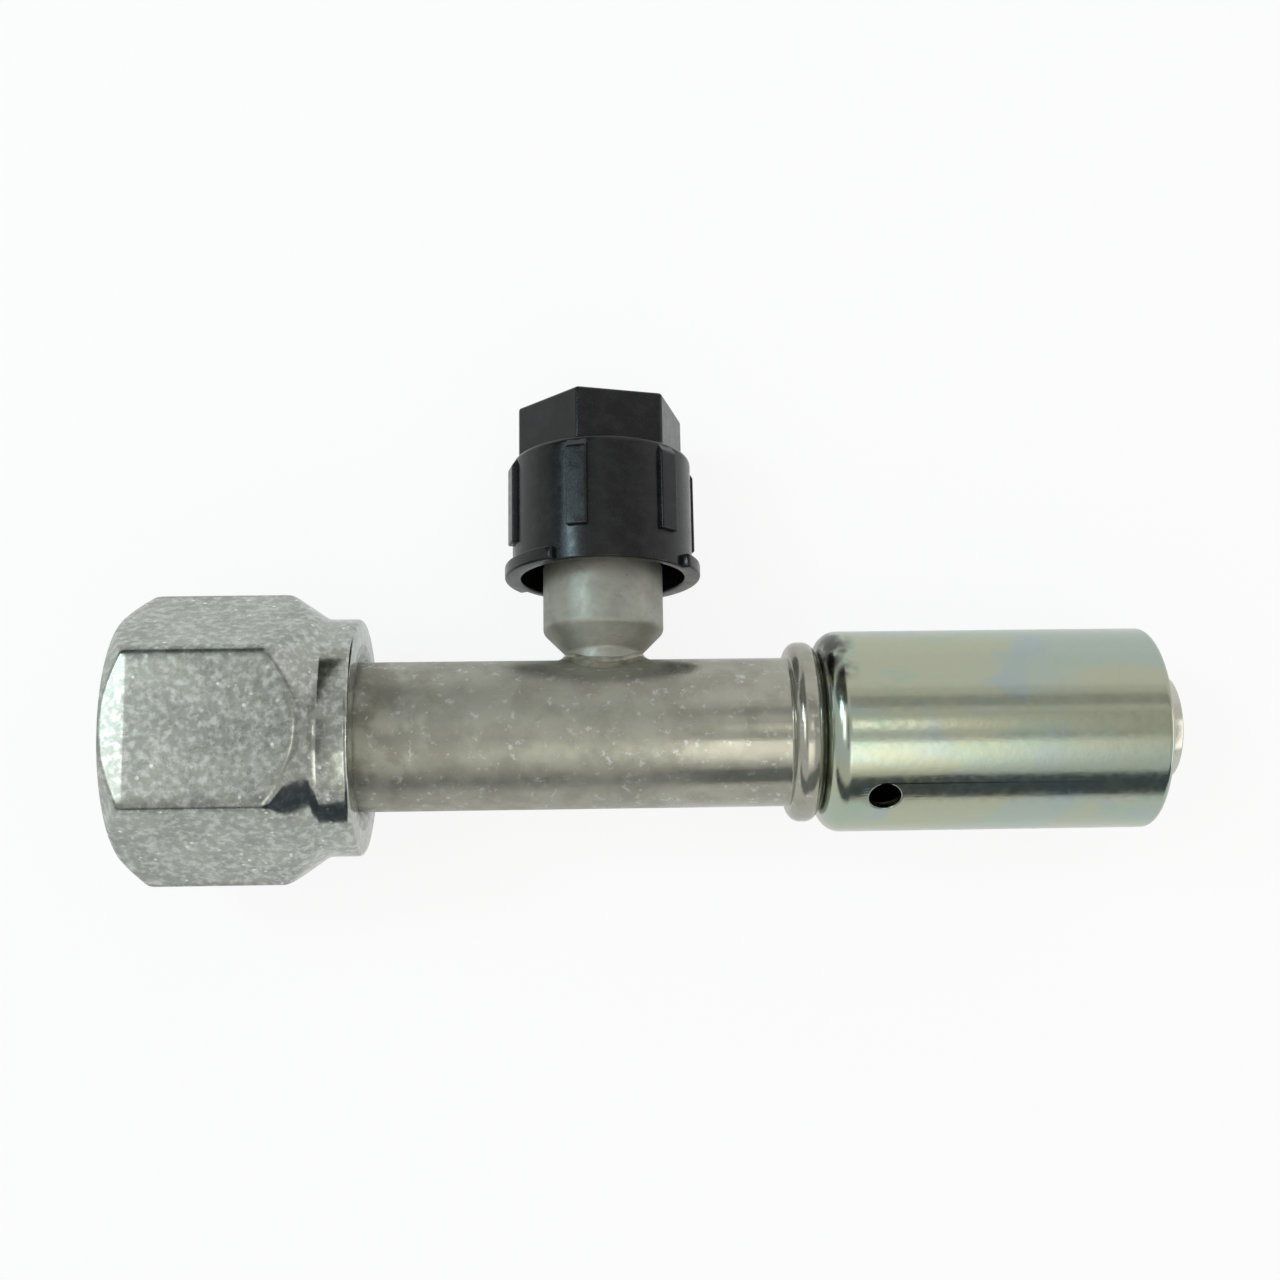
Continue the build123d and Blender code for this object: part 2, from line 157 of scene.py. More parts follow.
class Workpiece:
    """One mesh on the bench, with the steps that shape it."""

    def __init__(self, name: str) -> None:
        """Take up the primitive that was just added.

        Args:
            name: What the piece is called.
        """
        self.thing = bpy.context.object
        self.thing.name = name
        self.thing.data.name = name
        self.apply_place()

    @staticmethod
    def clear_bench() -> None:
        """Deselect everything, so that the next step acts on its own piece alone."""
        bpy.ops.object.select_all(action="DESELECT")

    def pick_up(self) -> None:
        """Make this piece the only one selected."""
        self.clear_bench()
        self.thing.select_set(True)
        bpy.context.view_layer.objects.active = self.thing

    def apply_place(self) -> None:
        """Put the object's place into its mesh."""
        self.pick_up()
        bpy.ops.object.transform_apply(location=True, rotation=True, scale=True)

    def place(self, where: Matrix) -> None:
        """Move the piece, with its place kept in its mesh.

        Args:
            where: The move, in metres.
        """
        self.thing.matrix_world = where
        self.apply_place()

    @contextmanager
    def editing(self) -> Iterator[None]:
        """Open the piece in edit mode with nothing selected, and close it afterwards."""
        self.pick_up()
        bpy.ops.object.mode_set(mode="EDIT")
        bpy.ops.mesh.select_mode(type="EDGE")
        bpy.ops.mesh.select_all(action="DESELECT")
        yield
        bpy.ops.object.mode_set(mode="OBJECT")

    def select_edges(self, wanted: Callable[[Vector], bool]) -> None:
        """Select each edge whose two ends are wanted, in edit mode.

        Args:
            wanted: Test of a point, in millimetres.
        """
        mesh = bmesh.from_edit_mesh(self.thing.data)
        for edge in mesh.edges:
            edge.select_set(all(wanted(end.co / MM) for end in edge.verts))
        bmesh.update_edit_mesh(self.thing.data)

    @classmethod
    def turned(
        cls, name: str, corners: Sequence[Corner], sides: int = SIDES, closed: bool = True
    ) -> "Workpiece":
        """Turn an outline about +Z, one ring after another.

        Args:
            name: What the piece is called.
            corners: The outline's corners in order.
            sides: Faces round the axis.
            closed: Whether the outline returns to its first corner. If not, both ends
                are closed with flat faces.

        Returns:
            The turned piece, with its corners rounded.
        """
        cls.clear_bench()
        first = corners[0]
        bpy.ops.mesh.primitive_circle_add(
            vertices=sides, radius=first.radius * MM, location=(0, 0, first.along * MM)
        )
        piece = cls(name)
        with piece.editing():
            bpy.ops.mesh.select_all(action="SELECT")
            before = first
            for corner in (*corners[1:], *([first] if closed else [])):
                rise = (corner.along - before.along) * MM
                grow = corner.radius / before.radius
                bpy.ops.mesh.extrude_edges_move(TRANSFORM_OT_translate={"value": (0, 0, rise)})
                bpy.ops.transform.resize(
                    value=(grow, grow, 1), center_override=(0, 0, corner.along * MM)
                )
                before = corner
            piece.close_up()
        for before, corner, after in zip((corners[-1], *corners), corners, (*corners[1:], first)):
            if corner.rounding > 0:
                piece.round_ring(corner, corner.turn(before, after))
        return piece

    def close_up(self) -> None:
        """Merge doubles, fill open ends and turn the faces outwards, in edit mode."""
        bpy.ops.mesh.select_all(action="SELECT")
        bpy.ops.mesh.remove_doubles(threshold=NEAR / 2)
        bpy.ops.mesh.fill_holes(sides=0)
        bpy.ops.mesh.select_all(action="SELECT")
        bpy.ops.mesh.normals_make_consistent(inside=False)

    def round_ring(self, corner: Corner, turn: float) -> None:
        """Round the ring that one corner of the outline made.

        Args:
            corner: The corner, with its rounding.
            turn: Angle by which the outline turns there, in radians.
        """
        near = NEAR / MM
        steps = FINE_STEPS if corner.rounding < FINE_ROUNDING else BROAD_STEPS

        def on_ring(point: Vector) -> bool:
            """Whether a point is on the ring."""
            radius = math.hypot(point.x, point.y)
            return abs(point.z - corner.along) < near and abs(radius - corner.radius) < near

        with self.editing():
            self.select_edges(on_ring)
            bpy.ops.mesh.bevel(
                offset=corner.rounding * math.tan(turn / 2) * MM,
                segments=steps,
                affect="EDGES",
                clamp_overlap=False,
            )

    @classmethod
    def prism(
        cls, name: str, sides: int, radius: float, bottom: float, top: float, turn: float = 0.0
    ) -> "Workpiece":
        """Stand a prism on the axis +Z.

        Args:
            name: What the piece is called.
            sides: Number of sides.
            radius: Distance of the corners from the axis.
            bottom: Height of the lower face.
            top: Height of the upper face.
            turn: Degrees from +X to a corner.

        Returns:
            The prism.
        """
        cls.clear_bench()
        bpy.ops.mesh.primitive_cylinder_add(
            vertices=sides,
            radius=radius * MM,
            depth=(top - bottom) * MM,
            location=(0, 0, (top + bottom) / 2 * MM),
            rotation=(0, 0, math.radians(turn - 90)),
        )
        return cls(name)

    @classmethod
    def screw_thread(
        cls, name: str, base_r: float, root_r: float, pitch: float, start: float, end: float
    ) -> "Workpiece":
        """Wind a right-hand ridge about +Z, a tool that cuts a 60 degree thread.

        Args:
            name: What the tool is called.
            base_r: Radius of the ridge's wide side, clear of the wall that it cuts.
            root_r: Radius of its narrow side, the bottom of the groove.
            pitch: Rise in one turn.
            start: Height where the ridge starts.
            end: Height that it reaches.

        Returns:
            The ridge.
        """
        narrow = pitch / 8
        depth = abs(root_r - base_r)
        wide = narrow + 2 * depth * math.tan(math.radians(30))
        centre = ((base_r + root_r) / 2 * MM, 0, start * MM)
        cls.clear_bench()
        bpy.ops.mesh.primitive_plane_add(size=MM, location=centre, rotation=(math.pi / 2, 0, 0))
        piece = cls(name)
        with piece.editing():
            bpy.ops.mesh.select_all(action="SELECT")
            bpy.ops.transform.resize(value=(depth, 1, wide), center_override=centre)
            bpy.ops.mesh.select_all(action="DESELECT")
            piece.select_edges(lambda point: abs(point.x - root_r) < depth / 4)
            bpy.ops.transform.resize(value=(1, 1, narrow / wide), center_override=centre)
            bpy.ops.mesh.select_all(action="SELECT")
            bpy.ops.mesh.delete(type="ONLY_FACE")
        piece.wind(pitch, math.ceil((end - start) / pitch), SIDES // 3)
        return piece

    def wind(self, rise: float, turns: int, steps: int) -> None:
        """Wind the piece, an open profile, about +Z and close its ends.

        Args:
            rise: Rise in one turn, in millimetres.
            turns: Number of turns.
            steps: Faces in one turn.
        """
        step = self.thing.modifiers.new("wind", "SCREW")
        step.screw_offset = rise * MM
        step.iterations = turns
        step.steps = step.render_steps = steps
        self.apply(step)
        with self.editing():
            self.close_up()

    def apply(self, step: bpy.types.Modifier) -> None:
        """Apply one modifier.

        Args:
            step: The modifier, already set up.
        """
        self.pick_up()
        bpy.ops.object.modifier_apply(modifier=step.name)

    def use(self, tool: "Workpiece", joining: Joining) -> None:
        """Use a tool on the piece, and use the tool up.

        Args:
            tool: The piece that cuts or joins this one.
            joining: Which of the two it does.
        """
        step = self.thing.modifiers.new(joining.name, "BOOLEAN")
        step.operation = joining.value
        step.solver = "EXACT"
        step.object = tool.thing
        self.apply(step)
        bpy.data.objects.remove(tool.thing)
        with self.editing():
            bpy.ops.mesh.select_all(action="SELECT")
            bpy.ops.mesh.remove_doubles(threshold=NEAR)

    def ease_edges(self, width: float, angle: float = 25.0, steps: int = 3) -> None:
        """Take the sharpness off every edge that turns by more than an angle.

        Args:
            width: Width of the easing.
            angle: Smallest turn that is eased, in degrees.
            steps: Faces across it.
        """
        step = self.thing.modifiers.new("ease", "BEVEL")
        step.width = width * MM
        step.segments = steps
        step.limit_method = "ANGLE"
        step.angle_limit = math.radians(angle)
        step.use_clamp_overlap = False
        self.apply(step)

    def smooth(self, angle: float = 35.0) -> None:
        """Shade the piece smooth, with its flat faces kept flat.

        Args:
            angle: Edges that turn by more than this stay sharp, in degrees.
        """
        self.pick_up()
        bpy.ops.object.shade_smooth_by_angle(angle=math.radians(angle))
        step = self.thing.modifiers.new("normals", "WEIGHTED_NORMAL")
        step.keep_sharp = True
        self.apply(step)

    def copy(self, name: str) -> "Workpiece":
        """Copy the piece with a mesh of its own.

        Args:
            name: What the copy is called.

        Returns:
            The copy.
        """
        self.pick_up()
        bpy.ops.object.duplicate(linked=False)
        return Workpiece(name)

    def fit(self, body: str, node: str, slot: str, finish: bpy.types.Material) -> None:
        """Hand the finished piece over to the frame.

        Args:
            body: The body that it moves with.
            node: The solid that it stands for.
            slot: The record's material slot; not used.
            finish: Its material.
        """
        self.thing.data.materials.clear()
        self.thing.data.materials.append(finish)
        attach(self.thing, body)
        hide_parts(node)
        low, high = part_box(node)
        places = [vertex.co for vertex in self.thing.data.vertices]
        gaps = []
        for axis in range(3):
            gaps.append(abs(min(place[axis] for place in places) - low[axis]))
            gaps.append(abs(max(place[axis] for place in places) - high[axis]))
        faces = len(self.thing.data.polygons)
        reach = max(gaps) / MM
        log.info("%s: %d faces, box within %.3f mm of its solid", self.thing.name, faces, reach)


class Shading:
    """Nodes of one material, added and linked by short calls."""

    def __init__(self, name: str) -> None:
        """Start a material with its shader and its place on the object.

        Args:
            name: What the material is called.
        """
        self.material = bpy.data.materials.new(name)
        self.material.use_nodes = True
        self.nodes = self.material.node_tree.nodes
        self.links = self.material.node_tree.links
        self.surface = self.nodes["Principled BSDF"]
        self.at = self.nodes.new("ShaderNodeTexCoord").outputs["Object"]

    def feed(self, socket: bpy.types.NodeSocket, value: Value) -> None:
        """Link or set one socket.

        Args:
            socket: The input.
            value: An output to link, or a constant.
        """
        if isinstance(value, bpy.types.NodeSocket):
            self.links.new(value, socket)
        elif isinstance(value, tuple) and len(socket.default_value) == 4:
            socket.default_value = (*value, 1.0)
        else:
            socket.default_value = value

    def set(self, **values: Value) -> None:
        """Set or link the shader's own sockets, with _ for a space in their names."""
        for name, value in values.items():
            self.feed(self.surface.inputs[name.replace("_", " ")], value)

    def stretched(self, along: Colour, turn: Colour = (0.0, 0.0, 0.0)) -> bpy.types.NodeSocket:
        """Stretch the place on the object, for a pattern that has a direction.

        Args:
            along: Scale on each axis.
            turn: Turn about each axis, in degrees.

        Returns:
            The stretched place.
        """
        node = self.nodes.new("ShaderNodeMapping")
        self.links.new(self.at, node.inputs["Vector"])
        node.inputs["Rotation"].default_value = [math.radians(angle) for angle in turn]
        node.inputs["Scale"].default_value = along
        return node.outputs["Vector"]

    def cloud(
        self,
        grain: float,
        detail: float = 4.0,
        rough: float = 0.55,
        bend: float = 0.0,
        at: Union[bpy.types.NodeSocket, None] = None,
    ) -> bpy.types.NodeSocket:
        """Soft noise.

        Args:
            grain: Size of its patches in millimetres.
            detail: Octaves.
            rough: Share of the fine octaves.
            bend: Distortion.
            at: Place, if it is stretched.

        Returns:
            A value from 0 to 1.
        """
        node = self.nodes.new("ShaderNodeTexNoise")
        self.links.new(at or self.at, node.inputs["Vector"])
        node.inputs["Scale"].default_value = 1 / (grain * MM)
        node.inputs["Detail"].default_value = detail
        node.inputs["Roughness"].default_value = rough
        node.inputs["Distortion"].default_value = bend
        return node.outputs["Fac"]

    def cells(self, grain: float, at: Union[bpy.types.NodeSocket, None] = None) -> bpy.types.NodeSocket:
        """Distance to the nearest of scattered points.

        Args:
            grain: Distance between the points in millimetres.
            at: Place, if it is stretched.

        Returns:
            The distance, 0 at a point.
        """
        node = self.nodes.new("ShaderNodeTexVoronoi")
        self.links.new(at or self.at, node.inputs["Vector"])
        node.inputs["Scale"].default_value = 1 / (grain * MM)
        return node.outputs["Distance"]

    def level(
        self, value: Value, low: float, high: float, first: float = 0.0, last: float = 1.0
    ) -> bpy.types.NodeSocket:
        """Map a range of values smoothly to another.

        Args:
            value: What is mapped.
            low: Value that becomes first.
            high: Value that becomes last.
            first: Result at low and below.
            last: Result at high and above.

        Returns:
            The mapped value.
        """
        node = self.nodes.new("ShaderNodeMapRange")
        node.interpolation_type = "SMOOTHSTEP"
        names = ("Value", "From Min", "From Max", "To Min", "To Max")
        for name, number in zip(names, (value, low, high, first, last)):
            self.feed(node.inputs[name], number)
        return node.outputs["Result"]

    def mix(self, share: Value, first: Value, last: Value) -> bpy.types.NodeSocket:
        """Blend two colours.

        Args:
            share: Share of the last.
            first: One colour.
            last: The other.

        Returns:
            The blend.
        """
        node = self.nodes.new("ShaderNodeMix")
        node.data_type = "RGBA"
        self.feed(node.inputs[0], share)
        self.feed(node.inputs[6], first)
        self.feed(node.inputs[7], last)
        return node.outputs[2]

    def sum(self, operation: str, first: Value, last: Value) -> bpy.types.NodeSocket:
        """Work out one number from two.

        Args:
            operation: Name of the operation.
            first: One number.
            last: The other.

        Returns:
            The result.
        """
        node = self.nodes.new("ShaderNodeMath")
        node.operation = operation
        self.feed(node.inputs[0], first)
        self.feed(node.inputs[1], last)
        return node.outputs[0]

    def product(self, first: Value, *others: Value) -> Value:
        """Multiply two or more numbers."""
        for other in others:
            first = self.sum("MULTIPLY", first, other)
        return first

    def axis(self, name: str) -> bpy.types.NodeSocket:
        """One coordinate of the place on the object, in metres."""
        node = self.nodes.new("ShaderNodeSeparateXYZ")
        self.links.new(self.at, node.inputs[0])
        return node.outputs[name]

    def reach(self) -> bpy.types.NodeSocket:
        """Distance from the tube's axis, in metres."""
        flat = self.stretched((0.0, 1.0, 1.0))
        node = self.nodes.new("ShaderNodeVectorMath")
        node.operation = "LENGTH"
        self.links.new(flat, node.inputs[0])
        return node.outputs["Value"]

    def relief(
        self, height: Value, depth: float, under: Union[bpy.types.NodeSocket, None] = None
    ) -> bpy.types.NodeSocket:
        """Fine relief of the surface.

        Args:
            height: Its height, 0 to 1.
            depth: What 1 stands for, in millimetres.
            under: A coarser relief that this one lies on.

        Returns:
            The normal.
        """
        node = self.nodes.new("ShaderNodeBump")
        node.inputs["Distance"].default_value = depth * MM
        self.feed(node.inputs["Height"], height)
        if under is not None:
            self.links.new(under, node.inputs["Normal"])
        return node.outputs["Normal"]


@dataclass(frozen=True)
class PlatedSteel:
    """Dull zinc plate on the forged nut, with light flecks, grimy corners and bright cones."""

    name: str = "zinc_plate"
    plain: Colour = colour(165, 169, 160)
    dull: Colour = colour(150, 154, 147)
    fleck: Colour = colour(228, 232, 228)
    grime: Colour = colour(82, 82, 78)
    corner_r: float = 15.4
    collar_r: float = 12.55
    cone_end: float = 20.8
    cone_rise: float = 0.69
    bright_rough: float = 0.13
    forged_rough: float = 0.30

    def make(self) -> bpy.types.Material:
        """Build the material."""
        made = Shading(self.name)
        patches = made.level(made.cloud(5.0, 3.0), 0.35, 0.65)
        mottle = made.level(made.cloud(0.8, 3.0, 0.6), 0.42, 0.68)
        base = made.mix(patches, self.plain, self.dull)
        base = made.mix(made.product(mottle, 0.45), base, self.fleck)
        specks = made.level(made.cells(1.1), 0.22, 0.12)
        rare = made.level(made.cloud(3.0, 2.0), 0.46, 0.60)
        base = made.mix(made.product(specks, rare), base, self.fleck)
        corner = made.level(made.reach(), (self.corner_r - 0.5) * MM, (self.corner_r - 0.1) * MM)
        rubbed = made.level(made.cloud(1.2, 4.0, 0.7), 0.40, 0.55)
        base = made.mix(made.product(rubbed, 0.4, corner), base, self.grime)
        cone = made.product(made.sum("SUBTRACT", self.cone_end * MM, made.axis("X")), self.cone_rise)
        gap = made.sum("SUBTRACT", made.sum("ADD", cone, self.collar_r * MM), made.reach())
        forged = made.level(gap, 0.12 * MM, 0.40 * MM, self.bright_rough, self.forged_rough)
        uneven = made.level(made.cloud(0.6, 4.0, 0.6), 0.3, 0.7, 0.8, 1.2)
        rough = made.product(uneven, forged)
        waves = made.relief(made.cloud(2.2, 2.0), 0.014)
        grain = made.relief(made.cloud(0.3, 2.0, 0.5), 0.002, waves)
        made.set(Base_Color=base, Metallic=1.0, Roughness=rough, Normal=grain)
        return made.material


@dataclass(frozen=True)
class FilmedZinc:
    """Zinc plate on the drawn ferrule under a thin film of straw, green and blue."""

    name: str = "filmed_zinc"
    plain: Colour = colour(170, 182, 171)
    straw: Colour = colour(178, 182, 160)
    blue: Colour = colour(167, 179, 176)
    green: Colour = colour(166, 182, 165)
    smudge: Colour = colour(88, 87, 84)
    smudge_x: tuple[float, float] = (76.3, 74.3)
    smudge_y: tuple[float, float] = (4.0, 5.5)
    rough: tuple[float, float] = (0.13, 0.22)

    def make(self) -> bpy.types.Material:
        """Build the material."""
        made = Shading(self.name)
        broad = made.stretched((0.45, 1.0, 1.0))
        straw = made.level(made.cloud(11.0, 2.0, 0.5, 0.6, broad), 0.42, 0.60)
        blue = made.level(made.cloud(8.0, 2.0, 0.5, 0.6), 0.52, 0.66)
        green = made.level(made.cloud(5.0, 3.0, 0.5, 0.8, broad), 0.50, 0.70)
        base: Value = self.plain
        for share, film in ((straw, self.straw), (blue, self.blue), (green, self.green)):
            base = made.mix(share, base, film)
        shoulder = made.level(made.axis("X"), self.smudge_x[0] * MM, self.smudge_x[1] * MM)
        upper = made.level(made.axis("Y"), self.smudge_y[0] * MM, self.smudge_y[1] * MM)
        smeared = made.level(made.cloud(2.6, 2.0, 0.5), 0.40, 0.62)
        smudge = made.product(shoulder, upper, smeared)
        base = made.mix(smudge, base, self.smudge)
        rough = made.level(made.cloud(1.0, 4.0, 0.6), 0.3, 0.7, *self.rough)
        waves = made.relief(made.cloud(1.3, 3.0, 0.6), 0.010)
        drawn = made.stretched((0.12, 1.0, 1.0))
        lines = made.relief(made.cloud(0.25, 3.0, 0.6, 0.0, drawn), 0.0025, waves)
        made.set(Base_Color=base, Metallic=1.0, Roughness=rough, Normal=lines)
        return made.material


@dataclass(frozen=True)
class DrawnAluminium:
    """Dull drawn tube, with painted shade in blotches near the nut, light scuffs and fine draw lines.
    """

    name: str = "drawn_aluminium"
    plain: Colour = colour(170, 169, 156)
    # dark serves both the darker patches and the painted shade near the nut.
    dark: Colour = colour(138, 137, 125)
    scuff: Colour = colour(198, 200, 195)
    cut: Colour = colour(200, 198, 184)
    nut_shade_end: float = 40.0
    nut_shade_fade: float = 18.0
    tip_start: float = 107.9
    rubbed: tuple[float, float] = (53.0, 64.0)
    dull_rough: float = 0.38
    rubbed_rough: float = 0.14
    metal: float = 0.72

    def make(self) -> bpy.types.Material:
        """Build the material."""
        made = Shading(self.name)
        along = made.axis("X")
        patches = made.level(made.cloud(4.0, 4.0, 0.6, 0.3), 0.38, 0.66)
        # Painted shade: blotches darken the tube towards the nut, fully below 22 mm and fading out by
        # 40 mm, in place of the nut's shade.
        nut_shade = made.level(along, self.nut_shade_end * MM, (self.nut_shade_end - self.nut_shade_fade) * MM)
        base = made.mix(made.product(patches, 0.55), self.plain, self.dark)
        shade_blots = made.level(made.cloud(2.5, 4.0), 0.42, 0.6)
        base = made.mix(made.product(nut_shade, shade_blots), base, self.dark)
        scuffs = made.level(made.cloud(1.1, 5.0, 0.7), 0.57, 0.66)
        base = made.mix(made.product(scuffs, 0.8), base, self.scuff)
        tip = made.level(along, (self.tip_start - 0.2) * MM, self.tip_start * MM)
        base = made.mix(tip, base, self.cut)
        start, end = self.rubbed
        dulled = made.level(along, start * MM, end * MM, self.dull_rough, self.rubbed_rough)
        uneven = made.level(made.cloud(1.2, 4.0, 0.6), 0.3, 0.7, 0.85, 1.15)
        rough = made.product(uneven, dulled)
        dents = made.relief(made.cloud(3.0, 3.0), 0.018)
        drawn = made.stretched((0.05, 1.0, 1.0))
        lines = made.relief(made.cloud(0.18, 3.0, 0.7, 0.0, drawn), 0.004, dents)
        grain = made.relief(made.cloud(0.2, 3.0, 0.7), 0.003, lines)
        made.set(Base_Color=base, Metallic=self.metal, Roughness=rough, Normal=grain)
        return made.material


@dataclass(frozen=True)
class TurnedAluminium:
    """Machined port body, with tool marks round its axis and a few scratches."""

    name: str = "turned_aluminium"
    plain: Colour = colour(172, 172, 162)
    dark: Colour = colour(142, 142, 132)
    rough: tuple[float, float] = (0.46, 0.58)
    metal: float = 0.75

    def make(self) -> bpy.types.Material:
        """Build the material."""
        made = Shading(self.name)
        patches = made.level(made.cloud(2.6, 4.0, 0.6, 0.3), 0.36, 0.66)
        base = made.mix(made.product(patches, 0.5), self.plain, self.dark)
        scratch_place = made.stretched((0.25, 1.0, 1.0), (0.0, 0.0, 28.0))
        scratch = made.level(made.cloud(0.5, 2.0, 0.5, 1.5, scratch_place), 0.655, 0.70)
        base = made.mix(made.product(scratch, 0.6), base, self.dark)
        rough = made.level(made.cloud(0.8, 4.0, 0.6), 0.3, 0.7, *self.rough)
        marks = made.stretched((0.04, 1.0, 0.04))
        rings = made.relief(made.cloud(0.16, 2.0, 0.6, 0.0, marks), 0.005)
        grain = made.relief(made.cloud(0.25, 3.0, 0.7), 0.003, rings)
        made.set(Base_Color=base, Metallic=self.metal, Roughness=rough, Normal=grain)
        return made.material


@dataclass(frozen=True)
class MouldedPlastic:
    """Black moulded plastic with a fine grain, dusty in places."""

    name: str = "black_plastic"
    plain: Colour = colour(18, 18, 19)
    dusty: Colour = colour(38, 38, 39)
    rough: tuple[float, float] = (0.17, 0.28)
    gloss: float = 0.36

    def make(self) -> bpy.types.Material:
        """Build the material."""
        made = Shading(self.name)
        dust = made.level(made.cloud(1.6, 5.0, 0.65), 0.42, 0.70)
        specks = made.level(made.cloud(0.14, 3.0, 0.7), 0.52, 0.66)
        base = made.mix(made.product(dust, 0.6), self.plain, self.dusty)
        base = made.mix(made.product(specks, 0.45), base, self.dusty)
        rough = made.level(made.cloud(1.0, 4.0, 0.6), 0.3, 0.7, *self.rough)
        sink = made.relief(made.cloud(3.5, 2.0), 0.03)
        grain = made.relief(made.cloud(0.16, 3.0, 0.7), 0.006, sink)
        made.set(Base_Color=base, Specular_IOR_Level=self.gloss, Roughness=rough, Normal=grain)
        return made.material


@dataclass(frozen=True)
class Worked:
    """A small part's plain metal or soft stuff, with its own mottle and grain."""

    name: str
    plain: Colour
    dark: Colour
    metal: float
    smoothest: float
    roughest: float
    grain: float = 0.2
    depth: float = 0.004

    def make(self) -> bpy.types.Material:
        """Build the material."""
        made = Shading(self.name)
        mottle = made.level(made.cloud(self.grain * 5, 4.0, 0.6), 0.35, 0.68)
        base = made.mix(mottle, self.plain, self.dark)
        rough = made.level(made.cloud(self.grain * 3, 4.0), 0.3, 0.7, self.smoothest, self.roughest)
        grain = made.relief(made.cloud(self.grain, 3.0, 0.7), self.depth)
        made.set(Base_Color=base, Metallic=self.metal, Roughness=rough, Normal=grain)
        return made.material


@dataclass
class SwivelNut:
    """Forged hexagon nut with an internal thread, which turns on the tube."""

    across_flats: float = 27.0
    length: float = 24.3
    hex_length: float = 20.8
    corner_start: float = 2.3
    corner_end: float = 16.4
    flat_start: float = 2.7
    flat_lead: float = 0.35
    front_d: float = 26.1
    collar_d: float = 25.1
    root_radius: float = 1.5
    minor_d: float = 20.5
    major_d: float = 22.22
    pitch: float = 1.814
    thread_depth: float = 13.6
    thread_lead: float = 0.9
    relief_d: float = 22.3
    relief_end: float = 15.1
    bore_depth: float = 17.0
    bore_d: float = 15.995
    rear_chamfer: float = 0.9
    blank_proud: float = 0.5
    corner_power: float = 60.0
    lead_blend: float = 0.06
    front_blend: float = 0.27
    rear_blend: float = 0.42
    front_edge: float = 0.5
    rear_edge: float = 0.45
    front_rings: int = 20
    rear_rings: int = 30
    sides: int = 480

    def blank_radius(self, along: float) -> float:
        """Find the radius of the turned blank, which stands clear of the corners.

        Args:
            along: Distance from the open face.

        Returns:
            The radius there.
        """
        corner_r = self.across_flats / math.sqrt(3)
        front_rise = (corner_r - self.front_d / 2) / self.corner_start
        rear_rise = (corner_r - self.collar_d / 2) / (self.hex_length - self.corner_end)
        front = self.front_d / 2 + along * front_rise
        rear = self.collar_d / 2 + (self.hex_length - along) * rear_rise
        return min(front, rear, corner_r + self.blank_proud)

    def rings(self, start: float, end: float, count: int) -> list[Corner]:
        """Space rings of the blank evenly, for the flats to be pressed into.

        Args:
            start: Place of the first ring.
            end: Place of the last.
            count: Steps between them.

        Returns:
            The rings.
        """
        places = [start + (end - start) * step / count for step in range(count + 1)]
        return [Corner(place, self.blank_radius(place)) for place in places]

    def blank(self) -> Workpiece:
        """Turn the nut's round blank, bored through."""
        collar_r = self.collar_d / 2
        minor_r = self.minor_d / 2
        return Workpiece.turned("forged_nut", [
            Corner(0, minor_r + self.thread_lead),
            Corner(0, self.front_d / 2, self.front_edge),
            *self.rings(0.45, self.corner_start + 0.5, self.front_rings),
            *self.rings(self.corner_end - 0.8, self.hex_length - 0.75, self.rear_rings),
            Corner(self.hex_length, collar_r, self.root_radius),
            Corner(self.length, collar_r, self.rear_edge),
            Corner(self.length, self.bore_d / 2 + self.rear_chamfer, 0.2),
            Corner(self.length - self.rear_chamfer, self.bore_d / 2),
            Corner(self.bore_depth, self.bore_d / 2),
            Corner(self.bore_depth, minor_r),
            Corner(self.relief_end, minor_r),
            Corner(self.relief_end, self.relief_d / 2, 0.2),
            Corner(self.thread_depth, self.relief_d / 2, 0.2),
            Corner(self.thread_depth, minor_r),
            Corner(self.thread_lead, minor_r),
        ], self.sides)

    def flat_radius(self, along: float, around: float) -> float:
        """Find the radius of the hexagon in one direction, with its corners eased.

        Args:
            along: Distance from the open face.
            around: Angle from the middle of one flat, in radians.

        Returns:
            The radius there.
        """
        led = self.across_flats / 2 - self.flat_lead * (1 - along / self.flat_start)
        half = blended(self.across_flats / 2, led, self.lead_blend)
        pull = 0.0
        for flat in range(6):
            pull += max(math.cos(around - math.radians(60 * flat)), 0.0) ** self.corner_power
        return half / pull ** (1 / self.corner_power)

    def press_flats(self, nut: Workpiece) -> None:
        """Press the six flats into the blank, with soft edges between them and its cones.

        Args:
            nut: The blank.
        """
        for vertex in nut.thing.data.vertices:
            x, y, z = vertex.co / MM
            reach = math.hypot(x, y)
            if reach > self.relief_d / 2 + 0.1:
                blend = self.front_blend if z < self.length / 2 else self.rear_blend
                pressed = blended(reach, self.flat_radius(z, math.atan2(y, x)), blend)
                vertex.co.x *= pressed / reach
                vertex.co.y *= pressed / reach

    def build(self, where: Matrix) -> Workpiece:
        """Model the nut.

        Args:
            where: Place of its axis.

        Returns:
            The nut.
        """
        nut = self.blank()
        self.press_flats(nut)
        thread = Workpiece.screw_thread(
            "thread",
            self.minor_d / 2 - 0.15,
            self.major_d / 2,
            self.pitch,
            -self.pitch,
            self.thread_depth + 0.8,
        )
        nut.use(thread, Joining.CUT)
        nut.place(where)
        nut.smooth()
        return nut


